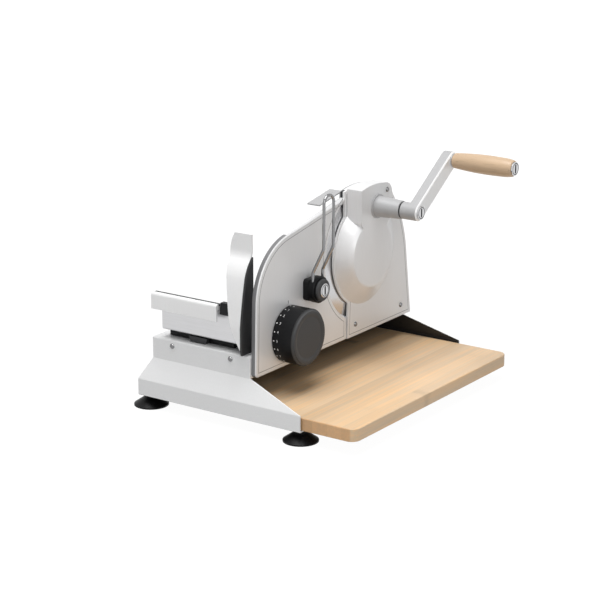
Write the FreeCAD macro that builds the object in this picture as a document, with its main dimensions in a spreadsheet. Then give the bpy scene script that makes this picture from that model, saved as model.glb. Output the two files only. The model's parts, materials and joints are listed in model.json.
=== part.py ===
import FreeCAD, Part
import math
import os
import re
import Sketcher
from FreeCAD import Placement, Rotation, Vector

# Hand crank food slicer.  Millimetres, +Z up.  X grows to the right, towards the crank and
# the board; Y grows from the front lip to the rear lip; Z = 0 is the table under the feet.
# The pieces are drawn from the natural datum of the machine: X = 0 is the left face of the
# upright panels, where the slice is cut, and Y = 0 is the face of the front lip.  Each
# piece's Placement then brings the middle of the whole machine to the origin.

SIZES = [
    # folded base cover
    ("depth", 335.8, "front lip to rear lip"),
    ("sheet", 1.5, "thickness of folded sheet"),
    ("lip_left", 150.0, "reach of the lip to the left of the panels"),
    ("lip_right", 75.4, "reach of the two right legs"),
    ("flange_low", 15.2, "underside of the inward flanges"),
    ("flange_wide", 28.0, "width of the inward flanges"),
    ("lip_top", 34.5, "top of the upright lip"),
    ("slope_top", 58.9, "top of the sloping skirt"),
    ("deck_top", 84.1, "top of the deck"),
    ("fold", 2.0, "outer radius of the cover's folds"),
    ("flare", 12.6, "run of the skirt outside the deck"),
    # clearances
    ("seat_gap", 0.3, "gap between neighbours that only stand beside each other"),
    ("running", 0.05, "radial clearance of a shaft in its bush"),
    ("slide_gap", 0.4, "clearance of a sliding shoe or drawer"),
    # suction feet
    ("foot_radius", 20.0, "radius of a suction cup"),
    ("foot_neck", 7.75, "radius of its neck"),
    ("foot_rim", 1.6, "height of the rim of a suction cup"),
    ("foot_shoulder", 9.5, "height where the cup becomes the neck"),
    ("foot_hollow", 6.0, "depth of the hollow under a cup"),
    ("foot_inset", 16.3, "foot centre behind the lip"),
    ("foot_left", 144.0, "left feet, from the panels"),
    ("foot_right", 65.0, "right feet, from the panels"),
    ("foot_screw", 2.4, "radius of a foot screw"),
    ("foot_head", 4.6, "radius of its sunk head"),
    ("foot_flare", 1.0, "flare of a cup under its neck"),
    ("foot_flare_high", 1.5, "height of that flare"),
    ("foot_arch", 1.0, "fall of the hollow's ceiling towards the rim"),
    ("foot_arch_in", 2.0, "start of that fall, inside the neck"),
    ("foot_web", 2.0, "rubber between the hollow and the screw's hole"),
    ("foot_free", 1.0, "gap under a foot screw's end"),
    ("foot_play", 0.2, "gap round a foot screw"),
    # cutting board
    ("board_left", 100.0, "board under the deck, left of the panels"),
    ("board_right", 144.0, "board to the right of the panels"),
    ("board_thick", 14.8, "thickness of the board"),
    ("board_front", 3.2, "board behind the front lip"),
    ("board_corner", 11.0, "corner radius of the board"),
    ("board_edge", 1.2, "rounding of the board's edges"),
    # braces and screws of the base
    ("brace_thick", 2.0, "thickness of the angle inside each end wall"),
    ("brace_left", 120.0, "left end of the angles"),
    ("brace_right", 14.0, "right end of the angles"),
    ("brace_deep", 14.0, "depth of the angles under the deck"),
    ("brace_high", 18.0, "height of the angles"),
    ("small_screw", 1.6, "radius of a small screw"),
    ("small_head", 3.0, "radius of its head"),
    ("small_rise", 1.4, "height of its head"),
    ("small_bevel", 0.8, "run of the bevel on its head"),
    ("small_brim", 0.4, "height of its head outside the bevel"),
    ("small_past", 2.0, "length of a base screw past its angle"),
    ("base_screw_left", 109.0, "left base screw, from the panels"),
    ("base_screw_right", 27.4, "right base screw, from the panels"),
    ("base_screw_up", 77.0, "height of the base screws"),
    # rail and carriage
    ("rail_middle", 78.0, "middle of the rail, left of the panels"),
    ("rail_foot", 20.0, "width of the rail at the deck"),
    ("rail_head", 26.0, "width of the rail at its top"),
    ("rail_high", 7.0, "height of the rail"),
    ("rail_end", 20.0, "rail's end, from the lip"),
    ("rail_screw_end", 45.0, "outer rail screws, from the lip"),
    ("rail_sink", 2.4, "depth of the cone under a rail screw's head"),
    ("rail_sunk", 0.8, "depth of a rail screw's head under the rail's top"),
    ("rail_nut", 2.4, "height of a rail screw's nut"),
    ("screw_end", 1.0, "length of a screw past its nut"),
    ("shoe_wide", 90.0, "width of a shoe"),
    ("shoe_long", 26.0, "length of a shoe"),
    ("shoe_front", 27.0, "front shoe, from the lip"),
    ("shoe_back", 104.0, "rear shoe, from the lip"),
    ("shoe_slack", 0.3, "further clearance of the shoes at the rail's foot"),
    ("tray_front", 16.0, "front face of the carriage wall"),
    ("tray_long", 125.0, "depth of the carriage"),
    ("tray_left", 125.5, "left edge of the carriage"),
    ("tray_right", 11.0, "right edge of the carriage"),
    ("tray_floor", 93.5, "underside of the carriage floor"),
    ("tray_top", 137.0, "top of the carriage wall"),
    ("tray_bend", 3.0, "outer radius of the carriage sheet's bend"),
    ("grip_left", 133.0, "left end of the carriage handle"),
    ("grip_right", 41.0, "right end of the carriage handle"),
    ("grip_low", 119.0, "lower edge of the carriage handle"),
    ("grip_top", 138.4, "top of the carriage handle"),
    ("grip_deep", 10.0, "depth of the carriage handle"),
    ("grip_round", 3.6, "rounding of the handle's front top edge"),
    ("grip_lip", 2.0, "thickness of the handle's front lip"),
    ("grip_body", 7.0, "height of the handle behind its lip"),
    ("grip_step", 1.0, "step down behind the handle's groove"),
    ("grip_groove", 2.6, "width of the groove along the handle's top"),
    ("grip_sunk", 3.0, "depth of that groove"),
    # thumb guard
    ("guard_wall", 2.4, "thickness of the guard"),
    ("guard_right", 7.5, "right edge of the guard"),
    ("guard_left", 36.5, "leftmost edge of the guard"),
    ("guard_low", 92.0, "lower tip of the guard"),
    ("guard_top", 218.0, "top of the guard"),
    ("guard_front", 3.9, "foremost face of the guard"),
    ("guard_back", 26.8, "upper face of the guard"),
    ("guard_turn", 116.4, "height where the guard starts to lean back"),
    ("guard_bend", 193.6, "height where it stands upright again"),
    ("guard_lean", 171.0, "height of the steepest lean"),
    ("guard_lean_in", 13.1, "face of the guard at the steepest lean"),
    ("guard_lower_round", 500.0, "radius of the face's lower curve"),
    ("guard_upper_round", 50.0, "radius of the face's upper curve"),
    ("guard_corner", 40.0, "radius of its upper left edge"),
    ("guard_corner_wide", 6.5, "run of that edge to the right"),
    ("guard_corner_high", 22.0, "start of that edge below the top"),
    ("guard_round", 16.0, "radius of the bend, on the front face"),
    ("guard_hip", 24.0, "left edge of the guard at its hip"),
    ("guard_hip_up", 129.0, "height of the hip"),
    ("guard_sweep", 130.0, "radius of the sweep up to the hip"),
    ("cheek_thick", 2.5, "thickness of the dark cheek"),
    ("cheek_low", 86.0, "lower edge of the cheek"),
    ("cheek_inset", 1.0, "cheek's lower front corner behind the guard"),
    ("block_left", 38.0, "left end of the guard's holder"),
    ("block_low", 127.5, "underside of the holder"),
    ("block_top", 140.5, "top of the holder"),
    # upright panels
    ("panel", 6.0, "thickness of the upright panels"),
    ("panel_low", 59.6, "lower edge of the panels"),
    ("panel_edge", 1.2, "bevel round the panels"),
    ("stop_front", 14.6, "front edge of the stop plate"),
    ("stop_rear", 193.0, "rear edge of the stop plate"),
    ("stop_round_y", 88.0, "middle of the stop plate's big curve, from the lip"),
    ("stop_round_z", 139.0, "height of that middle"),
    ("stop_round", 71.5, "radius of the big curve"),
    ("stop_slope", 10.2, "fall of the stop plate's top in degrees"),
    ("stop_corner", 5.0, "lower front corner of the stop plate"),
    ("stop_tip", 5.0, "top corner of the stop plate, from its rear edge"),
    ("stop_tip_edge", 2.0, "least upright edge at that corner"),
    ("slice_max", 14.0, "thickest slice"),
    # blade
    ("blade_y", 231.5, "blade centre, from the lip"),
    ("blade_z", 157.5, "height of the blade centre"),
    ("blade_radius", 80.0, "radius of the blade"),
    ("blade_thick", 1.8, "thickness of the blade"),
    ("blade_left", 0.6, "left face of the blade, right of the datum"),
    ("blade_bevel", 13.0, "width of the ground bevel"),
    ("blade_edge", 0.4, "thickness at the cutting edge"),
    ("blade_bore", 7.0, "radius of the hole in the blade"),
    ("blade_teeth", 90, "scallops round the edge"),
    ("scallop", 1.9, "radius of a scallop"),
    ("scallop_out", 1.2, "scallop centre outside the edge"),
    ("edge_gap", 1.5, "gap round the blade"),
    # gear housing
    ("house_wall", 2.5, "wall of the housing"),
    ("house_front", 195.0, "front edge of the housing's foot"),
    ("house_rear", 333.5, "rear end of the housing's foot"),
    ("house_shoulder_y", 322.8, "start of the rear curve"),
    ("house_shoulder_z", 135.8, "height of the start of the rear curve"),
    ("house_back_y", 290.6, "end of the rear curve"),
    ("house_back_z", 215.4, "height of the end of the rear curve"),
    ("house_top_y", 263.8, "start of the crest"),
    ("house_top_z", 233.0, "height of the start of the crest"),
    ("house_crest_y", 188.0, "front end of the crest"),
    ("house_crest_z", 236.4, "height of the front end of the crest"),
    ("house_rear_round", 150.0, "radius of the rear curve"),
    ("house_top_round", 33.0, "radius between rear curve and crest"),
    ("house_crest_round", 134.0, "radius of the crest"),
    ("bulge_y", 231.0, "middle of the housing's round front"),
    ("bulge_z", 158.0, "height of that middle"),
    ("bulge", 65.0, "radius of the round front"),
    ("bulge_high", 207.0, "top of the round front"),
    ("bulge_low", 102.6, "bottom of the round front"),
    ("dome_radius", 62.5, "radius of the dome's foot"),
    ("dome_y", 218.5, "middle of the dome's flat, from the lip"),
    ("dome_z", 161.5, "height of the middle of the dome's flat"),
    ("dome_flat", 40.0, "radius of the dome's flat"),
    ("dome_high", 20.0, "height of the dome above the panel"),
    ("dome_round", 6.0, "rounding round the dome's flat"),
    ("head_front", 192.6, "front face of the head"),
    ("head_rear", 257.0, "rear end of the head"),
    ("head_low", 201.0, "lower front corner of the head"),
    ("head_round", 14.0, "upper rear corner of the head"),
    ("head_top", 240.4, "front top edge of the head"),
    ("head_crest", 120.0, "radius of the head's arched top"),
    ("head_fall", 1.0, "fall of the head's top towards the front"),
    ("head_screw_y", 246.5, "small screw on the head, from the lip"),
    ("head_screw_z", 231.6, "height of the small screw"),
    ("head_screw_long", 5.0, "length of the small screw"),
    ("house_screw_front", 212.0, "front housing screw, from the lip"),
    ("house_screw_rear", 311.0, "rear housing screw, from the lip"),
    ("house_screw_up", 73.5, "height of the housing screws"),
    ("house_nut", 3.4, "radius of the housing screws' nuts"),
    ("house_nut_high", 2.5, "height of those nuts"),
    # blade guard behind the blade
    ("shield_inner", 70.0, "inner radius of the guard ring"),
    ("shield_low", 86.0, "lower end of the guard ring"),
    ("flap_left", 17.0, "reach of the flap to the left"),
    ("flap_front", 146.0, "front edge of the flap"),
    ("flap_fall", 10.2, "fall of the flap in degrees"),
    ("flap_rear", 3.0, "rear edge of the flap behind the crest's front end"),
    ("flap_sunk", 1.0, "flap's underside below the crest"),
    ("shield_front", 66.0, "front end of the ring, above the blade centre"),
    ("lock_thick", 3.4, "thickness of the blade lock"),
    ("lock_radius", 18.0, "radius of the blade lock"),
    ("lock_edge", 2.0, "bevel of its edge"),
    ("lock_sunk", 1.4, "depth of its slot"),
    # drive
    ("gear_module", 1.5, "module of both gears"),
    ("crank_teeth", 28, "teeth of the crank gear"),
    ("blade_gear_teeth", 50, "teeth of the blade gear"),
    ("gear_left", 8.0, "left face of both gears"),
    ("gear_wide", 6.0, "width of both gears"),
    ("bore_step", 1.5, "end of the bearing tube's bore, from the gears"),
    ("backlash", 0.24, "play between the gears"),
    ("gear_free", 0.7, "gap round the crank gear's teeth"),
    ("crank_y", 226.0, "crank axis, from the lip"),
    ("shaft", 6.0, "radius of crank and blade shafts"),
    ("shaft_collar", 6.0, "height of the blade shaft's collar"),
    ("shaft_shoulder", 2.5, "height of the crank shaft's shoulder"),
    ("boss_wall", 4.0, "wall of the blade shaft's boss"),
    ("tube_socket", 2.0, "wall of the bearing tube in the head"),
    ("bush_wall", 2.0, "wall of a shaft bush"),
    ("bush_long", 12.0, "length of a shaft bush"),
    ("tube_end", 60.0, "right end of the bearing tube"),
    ("tube_foot", 12.4, "radius of the bearing tube at the head"),
    ("tube_tip", 10.7, "radius of the bearing tube at its end"),
    ("tube_edge", 0.6, "bevel of its end"),
    ("collar", 14.0, "radius of the collar at the head"),
    ("collar_thick", 2.0, "thickness of the collar"),
    ("seal_thick", 1.4, "thickness of the dark ring before the hub"),
    ("seal_radius", 9.6, "radius of the dark ring"),
    ("hub_left", 62.0, "left end of the crank's hub"),
    ("hub_radius", 10.0, "radius of the crank's hub"),
    ("arm_left", 72.0, "left face of the crank arm"),
    ("arm_thick", 12.0, "thickness of the crank arm"),
    ("arm_wide", 20.0, "width of the crank arm"),
    ("arm_edge", 1.5, "bevel of the arm's edges"),
    ("throw", 86.0, "crank radius"),
    ("arm_angle", 34.3, "rest angle of the crank above the rear"),
    ("cap_radius", 8.0, "radius of the slotted caps"),
    ("cap_thick", 1.6, "thickness of the slotted caps"),
    ("cap_edge", 0.5, "bevel of the slotted caps"),
    ("slot_wide", 1.6, "width of their slots"),
    ("slot_sunk", 0.8, "depth of their slots"),
    ("cap_shank", 3.0, "radius of the cap screws' shanks"),
    ("cap_screwed", 9.0, "length of the cap screws' shanks"),
    ("cap_free", 1.0, "gap between the crank screw and the shaft"),
    ("grip_shank", 2.5, "radius of the grip screw's shank"),
    ("grip_axle", 4.0, "radius of the crank grip's axle"),
    ("axle_collar", 1.7, "thickness of the axle's collar"),
    ("grip_start", 86.0, "left end of the crank grip"),
    ("grip_end", 164.4, "right end of the crank grip"),
    ("grip_small", 8.8, "radius of the grip at the arm"),
    ("grip_big", 11.0, "largest radius of the grip"),
    ("grip_tip", 9.4, "radius of the grip at its far end"),
    ("grip_big_at", 62.0, "largest radius, from the grip's left end"),
    ("grip_edge", 1.0, "bevel of the grip's ends"),
    ("grip_far_curve", 60.0, "radius of the barrel beyond its largest radius"),
    ("grip_near_curve", 420.0, "radius of the barrel towards the arm"),
    # stop plate guide
    ("guide_up", 71.5, "height of the guide rods"),
    ("guide_front", 38.0, "front guide rod, from the lip"),
    ("guide_rear", 152.0, "rear guide rod, from the lip"),
    ("guide_rod", 4.0, "radius of a guide rod"),
    ("guide_long", 40.0, "length of a guide rod"),
    ("guide_bush", 7.0, "outer radius of a guide bush"),
    ("guide_bush_long", 22.0, "length of a guide bush"),
    ("guide_flange", 9.5, "radius of its flange"),
    ("guide_flange_thick", 2.0, "thickness of its flange"),
    # thickness knob
    ("knob_y", 76.3, "knob axis, from the lip"),
    ("knob_z", 96.5, "height of the knob axis"),
    ("knob_radius", 32.3, "radius of the knob"),
    ("knob_long", 28.0, "length of the knob"),
    ("knob_gap", 1.0, "knob's back edge from the plate"),
    ("knob_wall", 3.4, "wall of the knob"),
    ("knob_face", 4.0, "thickness of the knob's front"),
    ("knob_dish", 0.8, "depth of the dished front"),
    ("knob_rim", 2.6, "rounding of the knob's rim"),
    ("knob_brim", 5.5, "width of the rim round the dish"),
    ("knob_cone", 3.5, "width of the slope into the dish"),
    ("knob_turn", 330.0, "turn of the knob from thin to thick, in degrees"),
    ("drum_radius", 19.0, "radius of the cam drum inside the knob"),
    ("drum_sunk", 3.0, "depth of the cam groove"),
    ("drum_groove", 5.0, "width of the cam groove"),
    ("cam_start", 6.0, "middle of the cam groove's end, from the drum's back"),
    ("cam_spare", 9.0, "turn of the groove past the thickest slice, in degrees"),
    ("spindle", 5.0, "radius of the knob's spindle"),
    ("spindle_flange", 9.0, "radius of the spindle's flange"),
    ("spindle_long", 22.0, "length of the spindle"),
    ("spindle_free", 0.5, "gap at the spindle's end"),
    ("follower", 2.2, "radius of the cam follower's stem"),
    ("follower_slot", 3.4, "radius of the plate's hole for the stem"),
    ("follower_nut", 4.2, "radius of the follower's nut"),
    ("follower_nut_high", 3.0, "height of the follower's nut"),
    ("follower_free", 0.5, "gap between the follower and the groove's floor"),
    # deflector
    ("hinge_y", 117.2, "deflector axis, from the lip"),
    ("hinge_z", 140.0, "height of the deflector axis"),
    ("hinge_base", 25.0, "side of the deflector's base"),
    ("hinge_base_thick", 7.4, "thickness of the base"),
    ("hinge_corner", 4.0, "corner radius of the base"),
    ("hinge_knob", 15.4, "radius of the deflector's knob"),
    ("hinge_step", 12.6, "radius of the knob's step"),
    ("hinge_knob_start", 14.0, "left face of the deflector's knob"),
    ("hinge_knob_end", 26.0, "right face of the deflector's knob"),
    ("hinge_step_thick", 4.0, "thickness of the knob's step"),
    ("hinge_edge", 1.0, "bevel of the knob's edges"),
    ("hinge_face", 3.8, "material between the stud's bore and the knob's face"),
    ("stud_free", 0.2, "gap at the stud's end"),
    ("hinge_stud", 3.0, "radius of the deflector's stud"),
    ("wire", 1.75, "radius of the wire"),
    ("wire_half", 9.5, "half the distance between the wire's legs"),
    ("wire_start", 17.5, "wire in the knob, right of the datum"),
    ("wire_out", 32.0, "wire at its top, right of the datum"),
    ("wire_knee", 21.3, "lower bend of the wire, above the deflector axis"),
    ("wire_elbow", 29.2, "upper bend of the wire, above the lower bend"),
    ("wire_rise", 61.5, "top of the wire, above the upper bend"),
    ("wire_bend", 9.0, "radius of the wire's bends"),
    ("wire_held", 8.5, "start of the wire above the axis"),
]

DERIVED = {
    "centre_x": "(grip_end + cap_thick - foot_left - foot_radius) / 2",
    "centre_y": "depth / 2",
    "flange_top": "flange_low + sheet",
    "deck_left": "lip_left - flare",
    "wall_right": "0 - seat_gap",
    "flange_rear": "rear - flange_wide",
    "wall_left": "0 - seat_gap - sheet",
    "deck_under": "deck_top - sheet",
    "rear": "depth",
    "board_low": "flange_top + seat_gap",
    "board_high": "board_low + board_thick",
    "rail_top": "deck_top + rail_high",
    "blade_right": "blade_left + blade_thick",
    "blade_room": "blade_radius + edge_gap",
    "room_right": "panel - house_wall",
    "dome_right": "panel + dome_high",
    "dome_room": "dome_radius - house_wall",
    "shaft_end": "dome_right - house_wall - seat_gap * 2",
    "gear_right": "gear_left + gear_wide",
    "bore_left": "gear_right + bore_step",
    "gear_distance": "gear_module * (crank_teeth + blade_gear_teeth) / 2",
    "crank_z": "blade_z + sqrt(gear_distance ^ 2 - (blade_y - crank_y) ^ 2)",
    "crank_room": "gear_module * (crank_teeth / 2 + 1) + gear_free",
    "grip_y": "crank_y + throw * cos(arm_angle * 1 deg)",
    "grip_z": "crank_z + throw * sin(arm_angle * 1 deg)",
    "arm_right": "arm_left + arm_thick",
    "shaft_tip": "arm_right - cap_screwed - cap_free",
    "stop_top_y": "stop_round_y - stop_round * sin(stop_slope * 1 deg)",
    "stop_top_z": "stop_round_z + stop_round * cos(stop_slope * 1 deg)",
    "stop_across": "(blade_y - stop_top_y) * sin(stop_slope * 1 deg)"
                   " + (stop_top_z - blade_z) * cos(stop_slope * 1 deg)",
    "stop_meet_y": "blade_y - stop_across * sin(stop_slope * 1 deg)"
                   " - sqrt(blade_room ^ 2 - stop_across ^ 2) * cos(stop_slope * 1 deg)",
    "stop_tip_y": "min(stop_rear - stop_tip; stop_meet_y - stop_tip_edge)",
    "stop_tip_z": "stop_top_z + (stop_tip_y - stop_top_y) * tan(stop_slope * 1 deg)",
    "shield_right": "0 - seat_gap / 2",
    "shield_left": "shield_right - sheet",
    "knob_left": "panel + knob_gap",
    "knob_right": "panel + knob_gap + knob_long",
    "knob_inside": "knob_right - knob_face",
    "cam_tip": "knob_left + cam_start + slice_max",
    "knee_z": "hinge_z + wire_knee",
    "elbow_z": "knee_z + wire_elbow",
    "crown_z": "elbow_z + wire_rise - wire",
}

doc = FreeCAD.newDocument("Slicer")
sheet = doc.addObject("Spreadsheet::Sheet", "Sizes")
for row, (alias, number, note) in enumerate(SIZES, start=1):
    sheet.set("A%d" % row, note)
    sheet.set("B%d" % row, str(number))
    sheet.setAlias("B%d" % row, alias)
doc.recompute()

ALIASES = {alias for alias, number, note in SIZES}
PLANES = {"x": "YZ_Plane", "y": "XZ_Plane", "z": "XY_Plane"}
OVERSHOOT = "20"    # how far a wide opening runs past the material
PAST = "5"          # how far a small cut runs past it
CLEAR = "1"         # how far a cut with little room runs past it
NEAR = 0.01         # how close two places count as one
SHORT = 0.5         # least length of an edge that is rounded
PIECES = []


def expr(text):
    """Spell out an expression: derived names first, then each alias with its sheet."""
    def spell(match):
        word = match.group(0)
        if word in DERIVED:
            return "(" + expr(DERIVED[word]) + ")"
        return "Sizes." + word if word in ALIASES else word
    return re.sub(r"[A-Za-z_]\w*", spell, text)


def value(text):
    """The number that an expression gives."""
    return float(sheet.evalExpression(expr(text)))


def point(x, y, z):
    """A point in the machine's datum from three expressions."""
    return Vector(value(x), value(y), value(z))


# ---------------------------------------------------------------- sketches and features

def place(piece):
    """Bring a piece from the machine's datum to the part's origin."""
    piece.setExpression("Placement.Base.x", expr("0 - centre_x"))
    piece.setExpression("Placement.Base.y", expr("0 - centre_y"))
    PIECES.append(piece)
    return piece


def new_piece(label):
    """An empty body that becomes one sub-part."""
    body = doc.addObject("PartDesign::Body", label)
    body.Label = label
    body.AllowCompound = True
    return place(body)


def new_sketch(body, name, axis, at, shift=("0", "0")):
    """A sketch across an axis at a height along it."""
    sketch = body.newObject("Sketcher::SketchObject", name)
    plane = next(f for f in body.Origin.OriginFeatures if f.Role == PLANES[axis])
    sketch.AttachmentSupport = [(plane, "")]
    sketch.MapMode = "FlatFace"
    along = "0 - (%s)" % at if axis == "y" else at
    sketch.setExpression("AttachmentOffset.Base.x", expr(shift[0]))
    sketch.setExpression("AttachmentOffset.Base.y", expr(shift[1]))
    sketch.setExpression("AttachmentOffset.Base.z", expr(along))
    return sketch


def bind(sketch, constraint, text):
    """Add a constraint and tie it to the sheet."""
    index = sketch.addConstraint(constraint)
    sketch.setExpression("Constraints[%d]" % index, expr(text))


def arc_between(start, end, radius, hollow):
    """Arc of less than half a circle that leaves a corner counter-clockwise, or clockwise."""
    chord = end - start
    rise = math.sqrt(max(radius ** 2 - (chord.Length / 2) ** 2, 0))
    left = Vector(-chord.y, chord.x, 0).normalize()
    centre = (start + end) / 2 + left * (-rise if hollow else rise)
    first, last = (end, start) if hollow else (start, end)
    begin = math.atan2(first.y - centre.y, first.x - centre.x)
    finish = math.atan2(last.y - centre.y, last.x - centre.x)
    if finish < begin:
        finish += 2 * math.pi
    circle = Part.Circle(centre, Vector(0, 0, 1), radius)
    return Part.ArcOfCircle(circle, begin, finish)


def draw_outline(sketch, corners):
    """A closed outline of corners (across, up), each with (radius, hollow) if an arc follows."""
    spots = [Vector(value(corner[0]), value(corner[1]), 0) for corner in corners]
    starts, ends = [], []
    for index, corner in enumerate(corners):
        start = spots[index]
        end = spots[(index + 1) % len(spots)]
        if len(corner) == 2:
            edge = sketch.addGeometry(Part.LineSegment(start, end))
            starts.append((edge, 1))
            ends.append((edge, 2))
            continue
        radius, hollow = corner[2]
        edge = sketch.addGeometry(arc_between(start, end, value(radius), hollow))
        starts.append((edge, 2 if hollow else 1))
        ends.append((edge, 1 if hollow else 2))
        bind(sketch, Sketcher.Constraint("Radius", edge, value(radius)), radius)
    for index, corner in enumerate(corners):
        edge, side = starts[index]
        before, tail = ends[index - 1]
        sketch.addConstraint(Sketcher.Constraint("Coincident", before, tail, edge, side))
        for kind, text in (("DistanceX", corner[0]), ("DistanceY", corner[1])):
            bind(sketch, Sketcher.Constraint(kind, -1, 1, edge, side, value(text)), text)


def draw_circle(sketch, across, up, radius):
    """A circle about a place given by two expressions."""
    centre = Vector(value(across), value(up), 0)
    edge = sketch.addGeometry(Part.Circle(centre, Vector(0, 0, 1), value(radius)))
    bind(sketch, Sketcher.Constraint("Radius", edge, value(radius)), radius)
    for kind, text in (("DistanceX", across), ("DistanceY", up)):
        bind(sketch, Sketcher.Constraint(kind, -1, 1, edge, 3, value(text)), text)


def draw(sketch, shapes):
    """Outlines are lists of corners, circles are tuples (across, up, radius)."""
    for shape in shapes:
        if isinstance(shape, tuple):
            draw_circle(sketch, *shape)
        else:
            draw_outline(sketch, shape)


def add(body, name, axis, low, high, shapes):
    """Material between two heights along an axis."""
    sketch = new_sketch(body, name + "Sketch", axis, high if axis == "y" else low)
    draw(sketch, shapes)
    pad = body.newObject("PartDesign::Pad", name)
    pad.Profile = sketch
    pad.setExpression("Length", expr("(%s) - (%s)" % (high, low)))
    return pad


def cut(body, name, axis, low, high, shapes):
    """A recess between two heights along an axis."""
    sketch = new_sketch(body, name + "Sketch", axis, low if axis == "y" else high)
    draw(sketch, shapes)
    pocket = body.newObject("PartDesign::Pocket", name)
    pocket.Profile = sketch
    pocket.setExpression("Length", expr("(%s) - (%s)" % (high, low)))
    return pocket


def spin(body, name, sketch, side, hollow):
    """A full turn of a sketch about one of its own axes."""
    kind = "PartDesign::Groove" if hollow else "PartDesign::Revolution"
    turned = body.newObject(kind, name)
    turned.Profile = sketch
    turned.ReferenceAxis = (sketch, [side])
    turned.Angle = 360
    return turned


def turn_x(body, name, y, z, corners, hollow=False):
    """A piece turned about an axis along X; its corners are (x, radius)."""
    sketch = new_sketch(body, name + "Sketch", "z", z, ("0", y))
    draw_outline(sketch, corners)
    return spin(body, name, sketch, "H_Axis", hollow)


def turn_y(body, name, x, z, corners, hollow=False):
    """A piece turned about an axis along Y; its corners are (radius, y)."""
    sketch = new_sketch(body, name + "Sketch", "z", z, (x, "0"))
    draw_outline(sketch, corners)
    return spin(body, name, sketch, "V_Axis", hollow)


def turn_z(body, name, x, y, corners, hollow=False):
    """A piece turned about an upright axis; its corners are (radius, z)."""
    sketch = new_sketch(body, name + "Sketch", "y", y, (x, "0"))
    draw_outline(sketch, corners)
    return spin(body, name, sketch, "V_Axis", hollow)


def join_sections(body, name, axis, sections, hollow=False):
    """Material, or a recess, that runs straight from one section to the next."""
    kind = "PartDesign::SubtractiveLoft" if hollow else "PartDesign::AdditiveLoft"
    sketches = []
    for index, (at, shape) in enumerate(sections):
        sketch = new_sketch(body, "%sSection%d" % (name, index), axis, at)
        draw(sketch, [shape])
        sketches.append(sketch)
    loft = body.newObject(kind, name)
    loft.Profile = sketches[0]
    loft.Sections = sketches[1:]
    loft.Ruled = True
    return loft


def dress(body, name, kind, size, keep):
    """Round or bevel the edges of the tip that pass a test."""
    doc.recompute()
    base = body.Tip
    names = ["Edge%d" % (i + 1) for i, edge in enumerate(base.Shape.Edges) if keep(edge)]
    if not names:
        raise ValueError("no edge found for " + name)
    dressed = body.newObject(kind, name)
    dressed.Base = (base, names)
    prop = "Radius" if kind == "PartDesign::Fillet" else "Size"
    dressed.setExpression(prop, expr(size))
    return dressed


def lies_at(edge, axis, text):
    """True if the whole edge lies at one height along an axis."""
    box = edge.BoundBox
    low, high = {"x": (box.XMin, box.XMax), "y": (box.YMin, box.YMax),
                 "z": (box.ZMin, box.ZMax)}[axis]
    target = value(text)
    return abs(low - target) < NEAR and abs(high - target) < NEAR


def runs_along(edge, axis):
    """True if the edge is straight and runs along an axis."""
    box = edge.BoundBox
    spans = {"x": box.XLength, "y": box.YLength, "z": box.ZLength}
    rest = [span for key, span in spans.items() if key != axis]
    return spans[axis] > SHORT and max(rest) < NEAR


def rectangle(left, low, right, high):
    """Four corners, counter-clockwise."""
    return [(left, low), (right, low), (right, high), (left, high)]


def rod(start, end, radius):
    """Profile of a plain rod for turn_x."""
    return rectangle(start, "0", end, radius)


def tube(start, end, inner, outer):
    """Profile of a plain tube for turn_x."""
    return rectangle(start, inner, end, outer)


# ---------------------------------------------------------------- base

def cover_shell(name):
    """The whole folded base: deck, walls, sloping skirt, lips and inward flanges."""
    body = new_piece(name)
    past = "lip_right + " + OVERSHOOT
    foot = rectangle("0 - lip_left", "0", "lip_right", "rear")
    top = rectangle("0 - deck_left", "flare", "wall_right", "rear - flare")
    foot_in = rectangle("sheet - lip_left", "sheet", past, "rear - sheet")
    top_in = rectangle("sheet - deck_left", "flare + sheet", OVERSHOOT, "rear - flare - sheet")
    room = rectangle("sheet - deck_left", "flare + sheet", "wall_left", "rear - flare - sheet")
    opening = rectangle("flange_wide - lip_left", "flange_wide", past, "flange_rear")
    add(body, "Lip", "z", "flange_low", "lip_top", [foot])
    join_sections(body, "Skirt", "z", [("lip_top", foot), ("slope_top", top)])
    add(body, "Deck", "z", "slope_top", "deck_top", [top])
    dress(body, "Folds", "PartDesign::Fillet", "fold", lambda edge: lies_at(edge, "z", "deck_top"))
    cut(body, "LipRoom", "z", "flange_top", "lip_top", [foot_in])
    join_sections(body, "SkirtRoom", "z", [("lip_top", foot_in), ("slope_top", top_in)], True)
    cut(body, "DeckRoom", "z", "slope_top", "deck_under", [room])
    cut(body, "Opening", "z", "flange_low", "flange_top", [opening])
    guides = [(y, "guide_up", "guide_bush + seat_gap / 2") for y in ("guide_front", "guide_rear")]
    screws = [(y, "house_screw_up", "small_screw + seat_gap / 2")
              for y in ("house_screw_front", "house_screw_rear")]
    stem = ("knob_y", "guide_up", "follower")
    cut(body, "WallHoles", "x", "wall_left", "wall_right", guides + screws + [stem])
    return body


def keep_between(body, front, rear):
    """Cut away what lies in front of one plane and behind another."""
    past, high = "0 - lip_left - " + PAST, "deck_top + " + PAST
    everything = rectangle(past, "0", "lip_right + " + PAST, high)
    if front != "0":
        cut(body, "Before", "y", "0", front, [everything])
    if rear != "rear":
        cut(body, "Behind", "y", rear, "rear", [everything])


def make_base_cover():
    """Middle of the base: deck, right wall and left skirt."""
    body = cover_shell("base_cover")
    keep_between(body, "flange_wide", "flange_rear")
    rail_holes = [("0 - rail_middle", y, "small_screw + seat_gap / 2") for y in rail_screw_places()]
    cut(body, "RailHoles", "z", "deck_under", "deck_top", rail_holes)


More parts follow.
